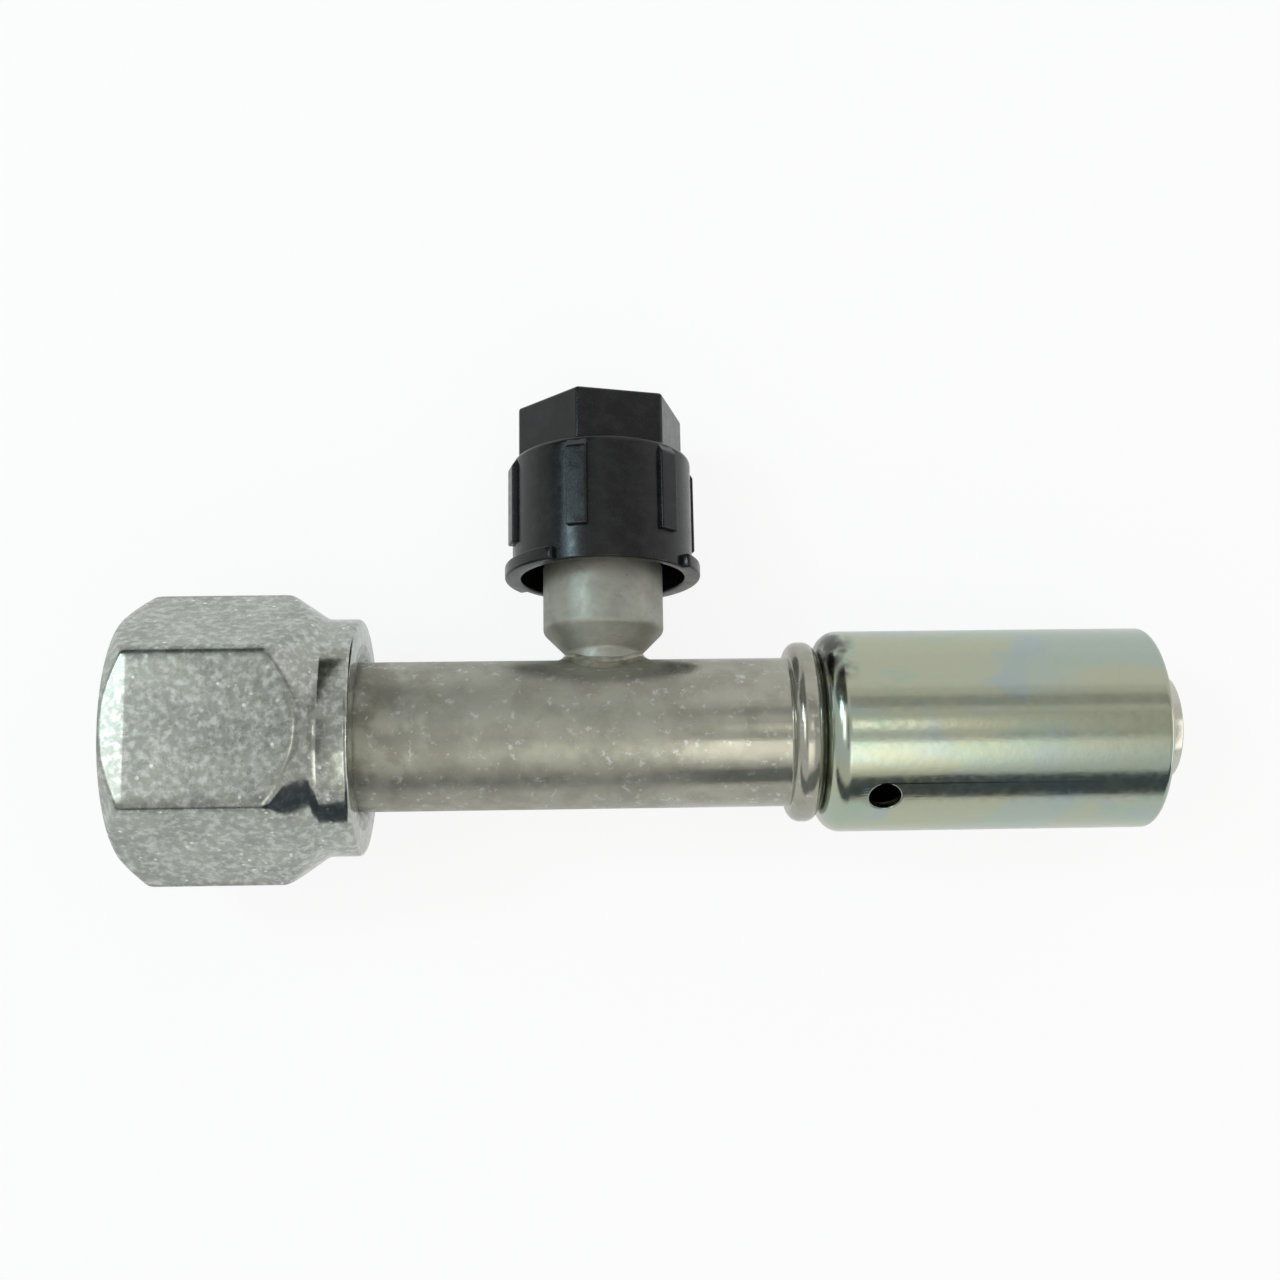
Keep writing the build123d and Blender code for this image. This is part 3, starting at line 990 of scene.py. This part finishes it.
@dataclass
class TubeStem:
    """Pilot, beads, tube and grooved hose stem in one, with the pilot's O-ring."""

    tube_d: float = 15.875
    tip: float = 5.25
    tip_chamfer: float = 0.8
    groove_front: float = 12.15
    groove_drop: float = 0.4
    pilot_bead: tuple[float, float] = (14.25, 16.85)
    pilot_bead_d: float = 19.8
    pilot_bead_crown: float = 0.65
    hose_bead: tuple[float, float] = (69.25, 72.3)
    hose_bead_height: float = 1.64
    hose_bead_crown: float = 1.3
    lock_groove: tuple[float, float] = (72.45, 74.15)
    lock_groove_drop: float = 0.75
    stem_front: float = 76.1
    stem_d: float = 12.7
    stem_end: float = 110.55
    stem_tip_d: float = 10.9
    stem_tip_length: float = 2.2
    bore_d: float = 13.375
    stem_bore_d: float = 9.7
    rib_count: int = 4
    rib_margin: float = 4.0
    rib_width: float = 2.0
    rib_drop: float = 0.45
    port_bore_d: float = 4.3
    ring_section: float = 1.86
    ring_gap: float = 1.05
    ring_clearance: float = 0.02
    ring_flash: float = 0.03

    def stem_grooves(self) -> list[Corner]:
        """Outline of the saw-tooth grooves that the hose grips."""
        radius = self.stem_d / 2
        run = self.stem_end - self.stem_tip_length - self.stem_front - 2 * self.rib_margin
        corners = []
        for index in range(self.rib_count):
            middle = self.stem_front + self.rib_margin + index * run / (self.rib_count - 1)
            start = middle - self.rib_width / 2
            corners.append(Corner(start, radius, 0.1))
            corners.append(Corner(start, radius - self.rib_drop))
            corners.append(Corner(start + self.rib_width / 3, radius - self.rib_drop))
            corners.append(Corner(start + self.rib_width, radius))
        return corners

    def build(self, where: Matrix, port_place: Matrix) -> Workpiece:
        """Model the tube.

        Args:
            where: Place of its axis.
            port_place: Place of the port's axis.

        Returns:
            The tube.
        """
        radius = self.tube_d / 2
        neck_r = radius - self.lock_groove_drop
        bead_r = radius + self.hose_bead_height
        crown = self.hose_bead_crown
        tube = Workpiece.turned("drawn_tube", [
            Corner(self.tip, self.bore_d / 2, 0.15),
            Corner(self.tip, radius - self.tip_chamfer),
            Corner(self.tip + self.tip_chamfer, radius, 0.2),
            Corner(self.groove_front, radius, 0.08),
            Corner(self.groove_front, radius - self.groove_drop),
            Corner(self.pilot_bead[0], radius - self.groove_drop),
            Corner(self.pilot_bead[0], self.pilot_bead_d / 2, self.pilot_bead_crown),
            Corner(self.pilot_bead[1], self.pilot_bead_d / 2, self.pilot_bead_crown),
            Corner(self.pilot_bead[1], radius),
            Corner(self.hose_bead[0], radius, 0.22),
            Corner(self.hose_bead[0], bead_r, crown),
            Corner(self.hose_bead[1], bead_r, crown),
            Corner(self.hose_bead[1], radius, 0.2),
            Corner(self.lock_groove[0], radius),
            Corner(self.lock_groove[0], neck_r),
            Corner(self.lock_groove[1], neck_r),
            Corner(self.lock_groove[1], radius),
            Corner(self.stem_front, radius, 0.2),
            Corner(self.stem_front, self.stem_d / 2),
            *self.stem_grooves(),
            Corner(self.stem_end - self.stem_tip_length, self.stem_d / 2, 0.3),
            Corner(self.stem_end, self.stem_tip_d / 2, 0.3),
            Corner(self.stem_end, self.stem_bore_d / 2, 0.2),
            Corner(self.hose_bead[1] + neck_r - self.stem_bore_d / 2, self.stem_bore_d / 2),
            Corner(self.hose_bead[1], self.bore_d / 2),
        ])
        tube.place(where)
        drill = Workpiece.prism("drill", 48, self.port_bore_d / 2, 1.0, self.tube_d)
        drill.place(port_place)
        tube.use(drill, Joining.CUT)
        tube.smooth()
        return tube

    def build_ring(self, where: Matrix) -> Workpiece:
        """Model the O-ring in the pilot's groove.

        Args:
            where: Place of the tube's axis.

        Returns:
            The ring.
        """
        section_r = self.ring_section / 2
        middle = self.tube_d / 2 - self.groove_drop + section_r + self.ring_clearance
        outer = middle + section_r
        Workpiece.clear_bench()
        bpy.ops.mesh.primitive_torus_add(
            major_radius=middle * MM,
            minor_radius=section_r * MM,
            major_segments=SIDES,
            minor_segments=32,
            location=(0, 0, (self.pilot_bead[0] - self.ring_gap) * MM),
        )
        ring = Workpiece("ring_seal")
        with ring.editing():
            ring.select_edges(lambda point: abs(math.hypot(point.x, point.y) - outer) < 0.001)
            bpy.ops.mesh.bevel(
                offset=self.ring_flash * MM, segments=2, affect="EDGES", clamp_overlap=True
            )
        ring.place(where)
        ring.smooth()
        return ring


@dataclass
class HoseFerrule:
    """Drawn shell that is crimped on the hose, with a sight hole."""

    outside_d: float = 21.4
    inside_d: float = 19.3
    front: float = 72.5
    end: float = 107.85
    front_wall: float = 1.6
    lip_d: float = 14.475
    shoulder: float = 2.3
    rim: float = 0.7
    hole_d: float = 3.3
    hole_setback: float = 5.85
    hole_turn: float = 139.0

    def build(self, where: Matrix, droop: float) -> Workpiece:
        """Model the ferrule.

        Args:
            where: Place of its axis.
            droop: How far the port leans down, in degrees.

        Returns:
            The ferrule.
        """
        outer_r = self.outside_d / 2
        inner_r = self.inside_d / 2
        shell = Workpiece.turned("crimp_ferrule", [
            Corner(self.front, self.lip_d / 2, 0.3),
            Corner(self.front, outer_r, self.shoulder),
            Corner(self.end, outer_r, self.rim),
            Corner(self.end, inner_r, 0.2),
            Corner(self.front + self.front_wall, inner_r, 0.5),
            Corner(self.front + self.front_wall, self.lip_d / 2, 0.2),
        ])
        shell.place(where)
        drill = Workpiece.prism("drill", 64, self.hole_d / 2, inner_r - 2, outer_r + 2)
        turn = Matrix.Rotation(math.radians(self.hole_turn - 90 - droop), 4, "X")
        drill.place(Matrix.Translation(((self.front + self.hole_setback) * MM, 0, 0)) @ turn)
        shell.use(drill, Joining.CUT)
        shell.ease_edges(0.16, 60.0)
        shell.smooth()
        return shell


@dataclass
class ServicePort:
    """Quick-coupler port on the tube, with the braze round its foot."""

    body_d: float = 13.0
    foot_d: float = 8.3
    foot_height: float = 8.7
    shoulder_height: float = 11.1
    groove_d: float = 10.2
    groove: tuple[float, float] = (19.2, 23.2)
    slope: float = 0.9
    height: float = 29.2
    mouth_d: float = 7.0
    mouth_depth: float = 6.6
    mouth_lead: float = 0.6
    end_chamfer: float = 1.0
    thread_d: float = 8.0
    pitch: float = 1.0
    core_d: float = 5.3
    seat_top: float = 18.3
    seat_drop: float = 1.1
    bore_d: float = 4.3
    tube_d: float = 15.875
    braze_width: float = 0.88
    braze_height: float = 0.75
    fit_gap: float = 0.02
    lumps: tuple[tuple[int, float, float], ...] = ((3, 0.06, 1.0), (7, 0.04, 0.0))

    def build(self, port_place: Matrix) -> Workpiece:
        """Model the port.

        Args:
            port_place: Place of its axis.

        Returns:
            The port.
        """
        radius = self.body_d / 2
        floor = self.height - self.mouth_depth
        start = self.tube_d / 4
        port = Workpiece.turned("charging_port", [
            Corner(start, self.bore_d / 2),
            Corner(start, self.foot_d / 2),
            Corner(self.foot_height, self.foot_d / 2, 0.5),
            Corner(self.shoulder_height, radius, 0.8),
            Corner(self.groove[0] - self.slope, radius, 0.15),
            Corner(self.groove[0], self.groove_d / 2, 0.25),
            Corner(self.groove[1], self.groove_d / 2, 0.25),
            Corner(self.groove[1] + self.slope, radius, 0.15),
            Corner(self.height - self.end_chamfer, radius, 0.2),
            Corner(self.height, radius - self.end_chamfer, 0.12),
            Corner(self.height, self.mouth_d / 2 + self.mouth_lead, 0.08),
            Corner(self.height - self.mouth_lead, self.mouth_d / 2),
            Corner(floor, self.mouth_d / 2),
            Corner(floor, self.core_d / 2),
            Corner(self.seat_top, self.core_d / 2),
            Corner(self.seat_top - self.seat_drop, self.bore_d / 2),
        ])
        thread = Workpiece.screw_thread(
            "thread",
            self.mouth_d / 2 - 0.1,
            self.thread_d / 2,
            self.pitch,
            floor + 0.9,
            self.height + 1,
        )
        port.use(thread, Joining.CUT)
        port.place(port_place)
        seat_r = self.tube_d / 2 + self.fit_gap
        saddle = Workpiece.prism("saddle", SIDES, seat_r, -self.tube_d, self.tube_d)
        saddle.place(port_place @ Matrix.Rotation(math.pi / 2, 4, "Y"))
        port.use(saddle, Joining.CUT)
        port.smooth()
        return port

    def build_braze(self, port_place: Matrix) -> Workpiece:
        """Model the braze, a hollow fillet that runs round the foot on the tube.

        Args:
            port_place: Place of the port's axis.

        Returns:
            The braze.
        """
        low = self.fit_gap
        inner = self.foot_d / 2 + low
        outer = inner + self.braze_width
        braze = Workpiece.turned("braze_fillet", [
            Corner(low, inner),
            Corner(low, outer),
            Corner(low + 0.16 * self.braze_height, outer - 0.30 * self.braze_width, 0.1),
            Corner(low + 0.48 * self.braze_height, outer - 0.68 * self.braze_width, 0.1),
            Corner(low + self.braze_height, inner + 0.04, 0.05),
            Corner(low + self.braze_height, inner),
        ], 128)
        for vertex in braze.thing.data.vertices:
            x, y, z = vertex.co / MM
            around = math.atan2(y, x)
            lump = 0.0
            for count, height, shift in self.lumps:
                lump += height * math.sin(count * around + shift)
            vertex.co.z = (z * (1 + lump) + math.sqrt((self.tube_d / 2) ** 2 - y * y)) * MM
        braze.place(port_place)
        braze.smooth(50.0)
        return braze


@dataclass
class CoreSpring:
    """Spring of the valve core, which shortens under the pin's collar."""

    wire_d: float = 0.26
    mean_d: float = 1.92
    turns: int = 5
    end_gap: float = 0.03
    floor: float = 13.62
    collar: float = 17.19
    travel: float = 1.2
    wire_sides: int = 16

    def build(self, port_place: Matrix) -> Workpiece:
        """Wind the spring between the barrel's floor and the pin's collar.

        Args:
            port_place: Place of the port's axis.

        Returns:
            The spring.
        """
        bottom = self.floor + self.wire_d / 2 + self.end_gap
        height = self.collar - self.wire_d / 2 - self.end_gap - bottom
        Workpiece.clear_bench()
        bpy.ops.mesh.primitive_circle_add(
            vertices=self.wire_sides,
            radius=self.wire_d / 2 * MM,
            location=(self.mean_d / 2 * MM, 0, bottom * MM),
            rotation=(math.pi / 2, 0, 0),
        )
        coil = Workpiece("coil_spring")
        coil.wind(height / self.turns, self.turns, SIDES // 4)
        coil.place(port_place)
        coil.smooth(50.0)
        return coil

    def shorten(self, coil: Workpiece) -> None:
        """Give the spring a mesh of its own.

        Args:
            coil: The spring, already handed over.
        """
        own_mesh(coil.thing)


@dataclass
class ScrewCap:
    """Screw cap with a hexagon, grip ribs, rim tabs and a threaded stud."""

    skirt_d: float = 19.6
    skirt_wall: float = 0.9
    rim: float = 17.0
    shoulder: float = 30.4
    shoulder_radius: float = 0.7
    across_flats: float = 16.2
    top: float = 36.1
    cavity: float = 12.2
    inner_d: float = 14.0
    ceiling: float = 30.6
    stud_d: float = 6.88
    stud_length: float = 6.2
    pitch: float = 1.0
    thread_drop: float = 0.45
    turn: float = -166.0
    rib_count: int = 6
    rib_width: float = 2.3
    rib_proud: float = 0.5
    rib_bottom: float = 20.5
    rib_slope: float = 1.3
    tab_count: int = 2
    tab_span: float = 90.0
    tab_proud: float = 0.85
    tab_height: float = 1.5

    def skirt(self) -> Workpiece:
        """Turn the skirt, its hollow and the stud."""
        skirt_r = self.skirt_d / 2
        cavity_top = self.rim + self.cavity
        stud_r = self.stud_d / 2
        stud_end = self.ceiling - self.stud_length
        return Workpiece.turned("screw_cap", [
            Corner(stud_end, stud_r - 0.5),
            Corner(stud_end + 0.5, stud_r),
            Corner(self.ceiling, stud_r),
            Corner(self.ceiling, self.inner_d / 2, 0.3),
            Corner(cavity_top, self.inner_d / 2, 0.2),
            Corner(cavity_top, skirt_r - self.skirt_wall, 0.3),
            Corner(self.rim, skirt_r - self.skirt_wall, 0.2),
            Corner(self.rim, skirt_r, 0.2),
            Corner(self.shoulder, skirt_r, self.shoulder_radius),
            Corner(self.shoulder, skirt_r / 2),
        ], SIDES, False)

    def hexagon(self) -> Workpiece:
        """Mould the hexagon with its edges eased."""
        corner_r = self.across_flats / math.sqrt(3)
        hexagon = Workpiece.prism("hexagon", 6, corner_r, self.shoulder - 1, self.top, self.turn)
        hexagon.ease_edges(0.32, 30.0, 4)
        return hexagon

    def rib(self) -> Workpiece:
        """Mould one grip rib on +X, its upper end sloped back to the skirt."""
        root_r = self.skirt_d / 2 - self.skirt_wall / 2
        face_r = self.skirt_d / 2 + self.rib_proud
        depth = face_r - root_r
        height = self.shoulder - self.rib_bottom
        Workpiece.clear_bench()
        bpy.ops.mesh.primitive_cube_add(
            size=MM,
            location=((root_r + face_r) / 2 * MM, 0, (self.rib_bottom + height / 2) * MM),
            scale=(depth, self.rib_width, height),
        )
        rib = Workpiece("rib")
        with rib.editing():
            near = NEAR / MM
            rib.select_edges(
                lambda point: point.x > face_r - near and point.z > self.shoulder - near
            )
            bpy.ops.transform.translate(value=(0, 0, -self.rib_slope * MM))
        rib.ease_edges(0.2, 30.0, 3)
        return rib

    def tab(self) -> Workpiece:
        """Mould one stretch of the rim's flange, centred on +X."""
        root_r = self.skirt_d / 2 - self.skirt_wall / 2
        face_r = self.skirt_d / 2 + self.tab_proud
        middle = ((root_r + face_r) / 2 * MM, 0, (self.rim + self.tab_height / 2) * MM)
        section = (face_r - root_r, 1, self.tab_height)
        span = math.radians(self.tab_span)
        Workpiece.clear_bench()
        bpy.ops.mesh.primitive_plane_add(size=MM, location=middle, rotation=(math.pi / 2, 0, 0))
        tab = Workpiece("tab")
        with tab.editing():
            bpy.ops.mesh.select_all(action="SELECT")
            bpy.ops.transform.resize(value=section, center_override=middle)
            bpy.ops.mesh.spin(steps=32, angle=span, center=(0, 0, 0), axis=(0, 0, 1))
            tab.close_up()
        tab.place(Matrix.Rotation(span / 2, 4, "Z"))
        tab.ease_edges(0.25, 30.0, 3)
        return tab

    def build(self, port_place: Matrix) -> Workpiece:
        """Model the cap.

        Args:
            port_place: Place of the port's axis.

        Returns:
            The cap.
        """
        cap = self.skirt()
        cap.use(self.hexagon(), Joining.ADD)
        for made, count in ((self.rib(), self.rib_count), (self.tab(), self.tab_count)):
            for index in range(count):
                another = made.copy("moulding")
                turn = math.radians(self.turn + index * 360 / count)
                another.place(Matrix.Rotation(turn, 4, "Z"))
                cap.use(another, Joining.ADD)
            bpy.data.objects.remove(made.thing)
        thread = Workpiece.screw_thread(
            "thread",
            self.stud_d / 2 + 0.1,
            self.stud_d / 2 - self.thread_drop,
            self.pitch,
            self.ceiling - self.stud_length - 1,
            self.ceiling - 2,
        )
        cap.use(thread, Joining.CUT)
        cap.place(port_place)
        cap.smooth()
        return cap


@dataclass(frozen=True)
class Fade:
    """Where a card's light comes up at both ends of one axis, from dark to lit, in millimetres."""

    axis: str
    start: tuple[float, float]
    end: tuple[float, float]


class Studio:
    """Pale floor, soft lights and the camera over the fitting.

    The floor glows white in part, by floor_seen where the camera looks at it and by
    floor_mirrored where the metal mirrors it. Every card leans by lean about +X.
    """

    room = 0.70
    sky = (1.0, 1.0, 0.985)
    floor_size = 8.0
    floor_gap = 0.02
    floor_colour = (0.94, 0.94, 0.94)
    floor_seen = 0.88
    floor_mirrored = 0.5
    lean = 14.0
    wall = 500.0
    ceiling = 600.0
    warm = (1.0, 0.99, 0.93)
    lamp_place = (54.0, 0.0, 0.0)
    lamp_distance = 600.0
    camera_place = (47.717, -15.055, 171.144)
    camera_turn = (8.37, -2.02, -0.62)
    camera_lens = 45.126
    camera_sensor = 36.0

    def __init__(self, slope: float, touch_x: float, touch_z: float) -> None:
        """Note how the fitting lies.

        Args:
            slope: Rise of the floor along +X, from what the fitting rests on.
            touch_x: Place along the tube where the nut touches the floor.
            touch_z: Height of that place.
        """
        self.slope = slope
        self.touch = Vector((touch_x, 0, touch_z)) * MM

    def floor(self) -> None:
        """Lay the floor under the nut and the ferrule."""
        Workpiece.clear_bench()
        bpy.ops.mesh.primitive_plane_add(size=self.floor_size)
        floor = bpy.context.object
        floor.name = "floor"
        floor.rotation_euler = (0, -math.atan(self.slope), 0)
        floor.location = self.touch - Vector((0, 0, self.floor_gap * MM))
        made = Shading("pale_floor")
        made.set(Base_Color=self.floor_colour, Roughness=0.9)
        nodes = made.nodes
        rays = nodes.new("ShaderNodeLightPath").outputs
        mirrored = made.sum("MAXIMUM", rays["Is Glossy Ray"], rays["Is Transmission Ray"])
        mirrored = made.product(mirrored, self.floor_mirrored)
        seen = made.product(rays["Is Camera Ray"], self.floor_seen)
        glow = nodes.new("ShaderNodeEmission")
        glow.inputs["Strength"].default_value = 1.0
        both = nodes.new("ShaderNodeMixShader")
        made.links.new(made.sum("MAXIMUM", seen, mirrored), both.inputs[0])
        made.links.new(made.surface.outputs[0], both.inputs[1])
        made.links.new(glow.outputs[0], both.inputs[2])
        made.links.new(both.outputs[0], nodes["Material Output"].inputs["Surface"])
        floor.data.materials.append(made.material)

    def world(self) -> None:
        """Surround the fitting with even light."""
        world = bpy.data.worlds.new("studio")
        bpy.context.scene.world = world
        world.use_nodes = True
        sky = world.node_tree.nodes["Background"]
        sky.inputs["Color"].default_value = (*self.sky, 1.0)
        sky.inputs["Strength"].default_value = self.room

    def softbox(
        self, name: str, lean: Sequence[float], size: Sequence[float], level: float, tint: Colour
    ) -> None:
        """Hang a soft light over the fitting.

        Args:
            name: What the lamp is called.
            lean: Lean from straight up towards +X and towards +Y, in degrees.
            size: Its width and height in millimetres.
            level: Its brightness, 1 for white paper.
            tint: Its colour.
        """
        away = Vector((*(math.tan(math.radians(angle)) for angle in lean), 1.0)).normalized()
        lamp = bpy.data.lights.new(name, "AREA")
        lamp.shape = "RECTANGLE"
        lamp.size = size[0] * MM
        lamp.size_y = size[1] * MM
        lamp.color = tint
        lamp.energy = level * math.pi * lamp.size * lamp.size_y
        holder = add_object(name, lamp)
        holder.location = (Vector(self.lamp_place) + away * self.lamp_distance) * MM
        holder.rotation_euler = away.to_track_quat("Z", "Y").to_euler()

    def card(
        self,
        name: str,
        corners: Sequence[Place],
        level: float,
        tint: Colour = WHITE,
        fades: Sequence[Fade] = (),
    ) -> None:
        """Stand a lit card beside or over the fitting, which reflections show.

        Args:
            name: What the card is called.
            corners: Its corners in order, in millimetres.
            level: Its brightness, 1 for white paper.
            tint: Its colour.
            fades: How it rises from the room's level to its own.
        """
        mesh = bpy.data.meshes.new(name)
        points = [Vector(corner) * MM for corner in corners]
        mesh.from_pydata(points, [], [tuple(range(len(points)))])
        card = add_object(name, mesh)
        card.visible_camera = False
        card.rotation_euler = (math.radians(self.lean), 0, 0)
        made = Shading(name)
        glow = made.nodes.new("ShaderNodeEmission")
        made.feed(glow.inputs["Color"], tint)
        share: Value = 1.0
        for fade in fades:
            place = made.axis(fade.axis)
            for dark, light in (fade.start, fade.end):
                share = made.product(share, made.level(place, dark * MM, light * MM))
        strength = made.product(share, level - self.room)
        made.feed(glow.inputs["Strength"], made.sum("ADD", strength, self.room) if fades else level)
        made.links.new(glow.outputs[0], made.nodes["Material Output"].inputs["Surface"])
        mesh.materials.append(made.material)

    def lying(
        self, left: float, right: float, near: float, far: float, drop: float = 0.0
    ) -> list[Place]:
        """Lay out a card overhead.

        Args:
            left: Its end towards -X.
            right: Its end towards +X.
            near: Its edge towards -Y.
            far: Its edge towards +Y.
            drop: How far it hangs under the others.

        Returns:
            Its corners.
        """
        height = self.ceiling - drop
        spots = ((left, near), (right, near), (right, far), (left, far))
        return [(x, y, height) for x, y in spots]

    @staticmethod
    def standing(wall: float, *spots: tuple[float, float]) -> list[Place]:
        """Lay out a card that stands beside the fitting.

        Args:
            wall: Its place along Y.
            spots: Its corners in order, each by its place along X and its height.

        Returns:
            Its corners.
        """
        return [(x, wall, z) for x, z in spots]

    def overhead(self) -> None:
        """Hang the lights and the greyer cards over the fitting."""
        self.card("main_light", self.lying(-18, 420, -560, 0), 2.55, self.warm, [
            Fade("X", (-20, 110), (360, 90)),
            Fade("Y", (-560, -190), (-15, -60)),
        ])
        self.card("dim_card", self.lying(250, 900, -15, 330, -10), 0.5, (1.0, 1.0, 0.97))
        self.card("second_light", self.lying(110, 300, 60, 290), 2.1, self.warm, [
            Fade("X", (125, 165), (240, 185)),
            Fade("Y", (80, 150), (250, 190)),
        ])
        self.card("left_light", self.lying(-480, -200, -60, 420), 3.2, (1.0, 1.0, 0.99), [
            Fade("X", (-480, -380), (-200, -290)),
            Fade("Y", (-60, 60), (420, 300)),
        ])
        self.card("grey_card", self.lying(-130, -20, -120, 290, 10), 0.32)

    def sides(self) -> None:
        """Stand the white wall, the end light and the dark cards round the fitting."""
        far = self.wall
        near = -self.wall
        white = self.standing(far, (40, -130), (1000, -130), (1000, 310), (40, 310))
        self.card("white_wall", white, 0.85)
        strip = self.standing(far, (100, 450), (1000, 450), (1000, 714), (100, 714))
        self.card("grey_strip", strip, 0.42)
        dark = self.standing(
            far, (-900, 10), (25, 10), (-10, 200), (-30, 363), (-79, 596), (-900, 596)
        )
        self.card("far_dark", dark, 0.07, (1.0, 0.97, 0.9))
        end = [(700, -300, 20), (700, 120, 20), (700, 120, 190), (700, -300, 190)]
        self.card("right_light", end, 2.2)
        dark = self.standing(
            near,
            (-900, 20), (18, 26), (127, 162), (1000, 165), (1000, 570),
            (257, 550), (202, 525), (-33, 340), (-900, 310),
        )
        self.card("near_dark", dark, 0.11, (0.72, 0.85, 1.0))

    def camera(self) -> None:
        """Set the camera where the photograph was taken, over the middle of the tube."""
        place = Matrix.Translation(Vector(self.camera_place) * MM)
        for axis, angle in zip("XYZ", self.camera_turn):
            place = place @ Matrix.Rotation(math.radians(angle), 4, axis)
        data = bpy.data.cameras.new("camera")
        data.sensor_width = self.camera_sensor
        data.lens = self.camera_lens
        data.clip_start = 0.01
        data.clip_end = 20.0
        camera = add_object("camera", data)
        camera.matrix_world = place
        bpy.context.scene.camera = camera

    def build(self) -> None:
        """Set up the whole studio."""
        self.floor()
        self.world()
        self.overhead()
        self.sides()
        self.softbox("window", (-43, 23), (150, 100), 13.0, (0.62, 0.9, 1.0))
        self.camera()
        bpy.context.scene.view_settings.view_transform = "Standard"


def finish_node(name: str, finish: bpy.types.Material) -> None:
    """Give a carried-over solid its finish.

    Args:
        name: The node.
        finish: Its material.
    """
    thing = frame["nodes"][name]
    for holder in thing.material_slots:
        holder.material = finish
    log.info("%s: finished as %s", name, finish.name)


def main() -> None:
    """Build, dress and light the fitting."""
    logging.basicConfig(level=logging.INFO, format="%(message)s")
    along_tube = Matrix.Rotation(math.pi / 2, 4, "Y")
    mounts = {mount["name"]: mount for mount in frame["record"]["mounts"]}
    port = mounts["service_port"]
    droop = math.degrees(math.asin(-port["axis"][2]))
    outward = Matrix.Rotation(math.radians(-90 - droop), 4, "X")
    port_place = Matrix.Translation((port["pos_m"][0], 0, 0)) @ outward

    drawn = DrawnAluminium().make()
    turned = TurnedAluminium().make()
    small = {}
    for name, plain, dark, *rest in (
        ("black_rubber", (38, 38, 38), (24, 24, 25), 0.0, 0.45, 0.62),
        ("braze_metal", (196, 194, 180), (150, 148, 136), 1.0, 0.28, 0.42, 0.3),
        ("turned_brass", (206, 178, 112), (176, 146, 84), 1.0, 0.25, 0.4),
        ("bright_steel", (190, 190, 188), (150, 150, 150), 1.0, 0.22, 0.36),
        ("white_gasket", (224, 222, 214), (204, 202, 194), 0.0, 0.4, 0.55),
    ):
        small[name] = Worked(name, colour(*plain), colour(*dark), *rest).make()
    rubber = small["black_rubber"]
    steel = small["bright_steel"]

    nut = SwivelNut()
    nut.build(along_tube).fit("nut", "swivel_nut", "nut_steel", PlatedSteel().make())
    tube = TubeStem()
    tube.build(along_tube, port_place).fit("fitting", "tube_stem", "tube_aluminium", drawn)
    tube.build_ring(along_tube).fit("fitting", "pilot_oring", "seal_rubber", rubber)
    ferrule = HoseFerrule()
    ferrule.build(along_tube, droop).fit("fitting", "ferrule", "ferrule_steel", FilmedZinc().make())
    service = ServicePort()
    service.build(port_place).fit("fitting", "service_port", "port_aluminium", turned)
    service.build_braze(port_place).fit("fitting", "braze_ring", "braze", small["braze_metal"])
    cap = ScrewCap()
    cap.build(port_place).fit("cap", "port_cap", "cap_plastic", MouldedPlastic().make())

    spring = CoreSpring()
    coil = spring.build(port_place)
    coil.fit("fitting", "core_spring", "core_steel", steel)
    spring.shorten(coil)

    for slot, finish, nodes in (
        ("core_brass", small["turned_brass"], ("core_plug", "core_barrel", "pin_foot")),
        ("core_steel", steel, ("valve_pin",)),
        ("seal_rubber", rubber, ("pin_seal", "cap_seal")),
        ("gasket_plastic", small["white_gasket"], ("core_gasket",)),
    ):
        for node in nodes:
            finish_node(node, finish)

    slope = (nut.across_flats - ferrule.outside_d) / 2 / (ferrule.end - nut.corner_end)
    Studio(slope, nut.corner_end, -nut.across_flats / 2).build()


if __name__ == "__main__":
    main()
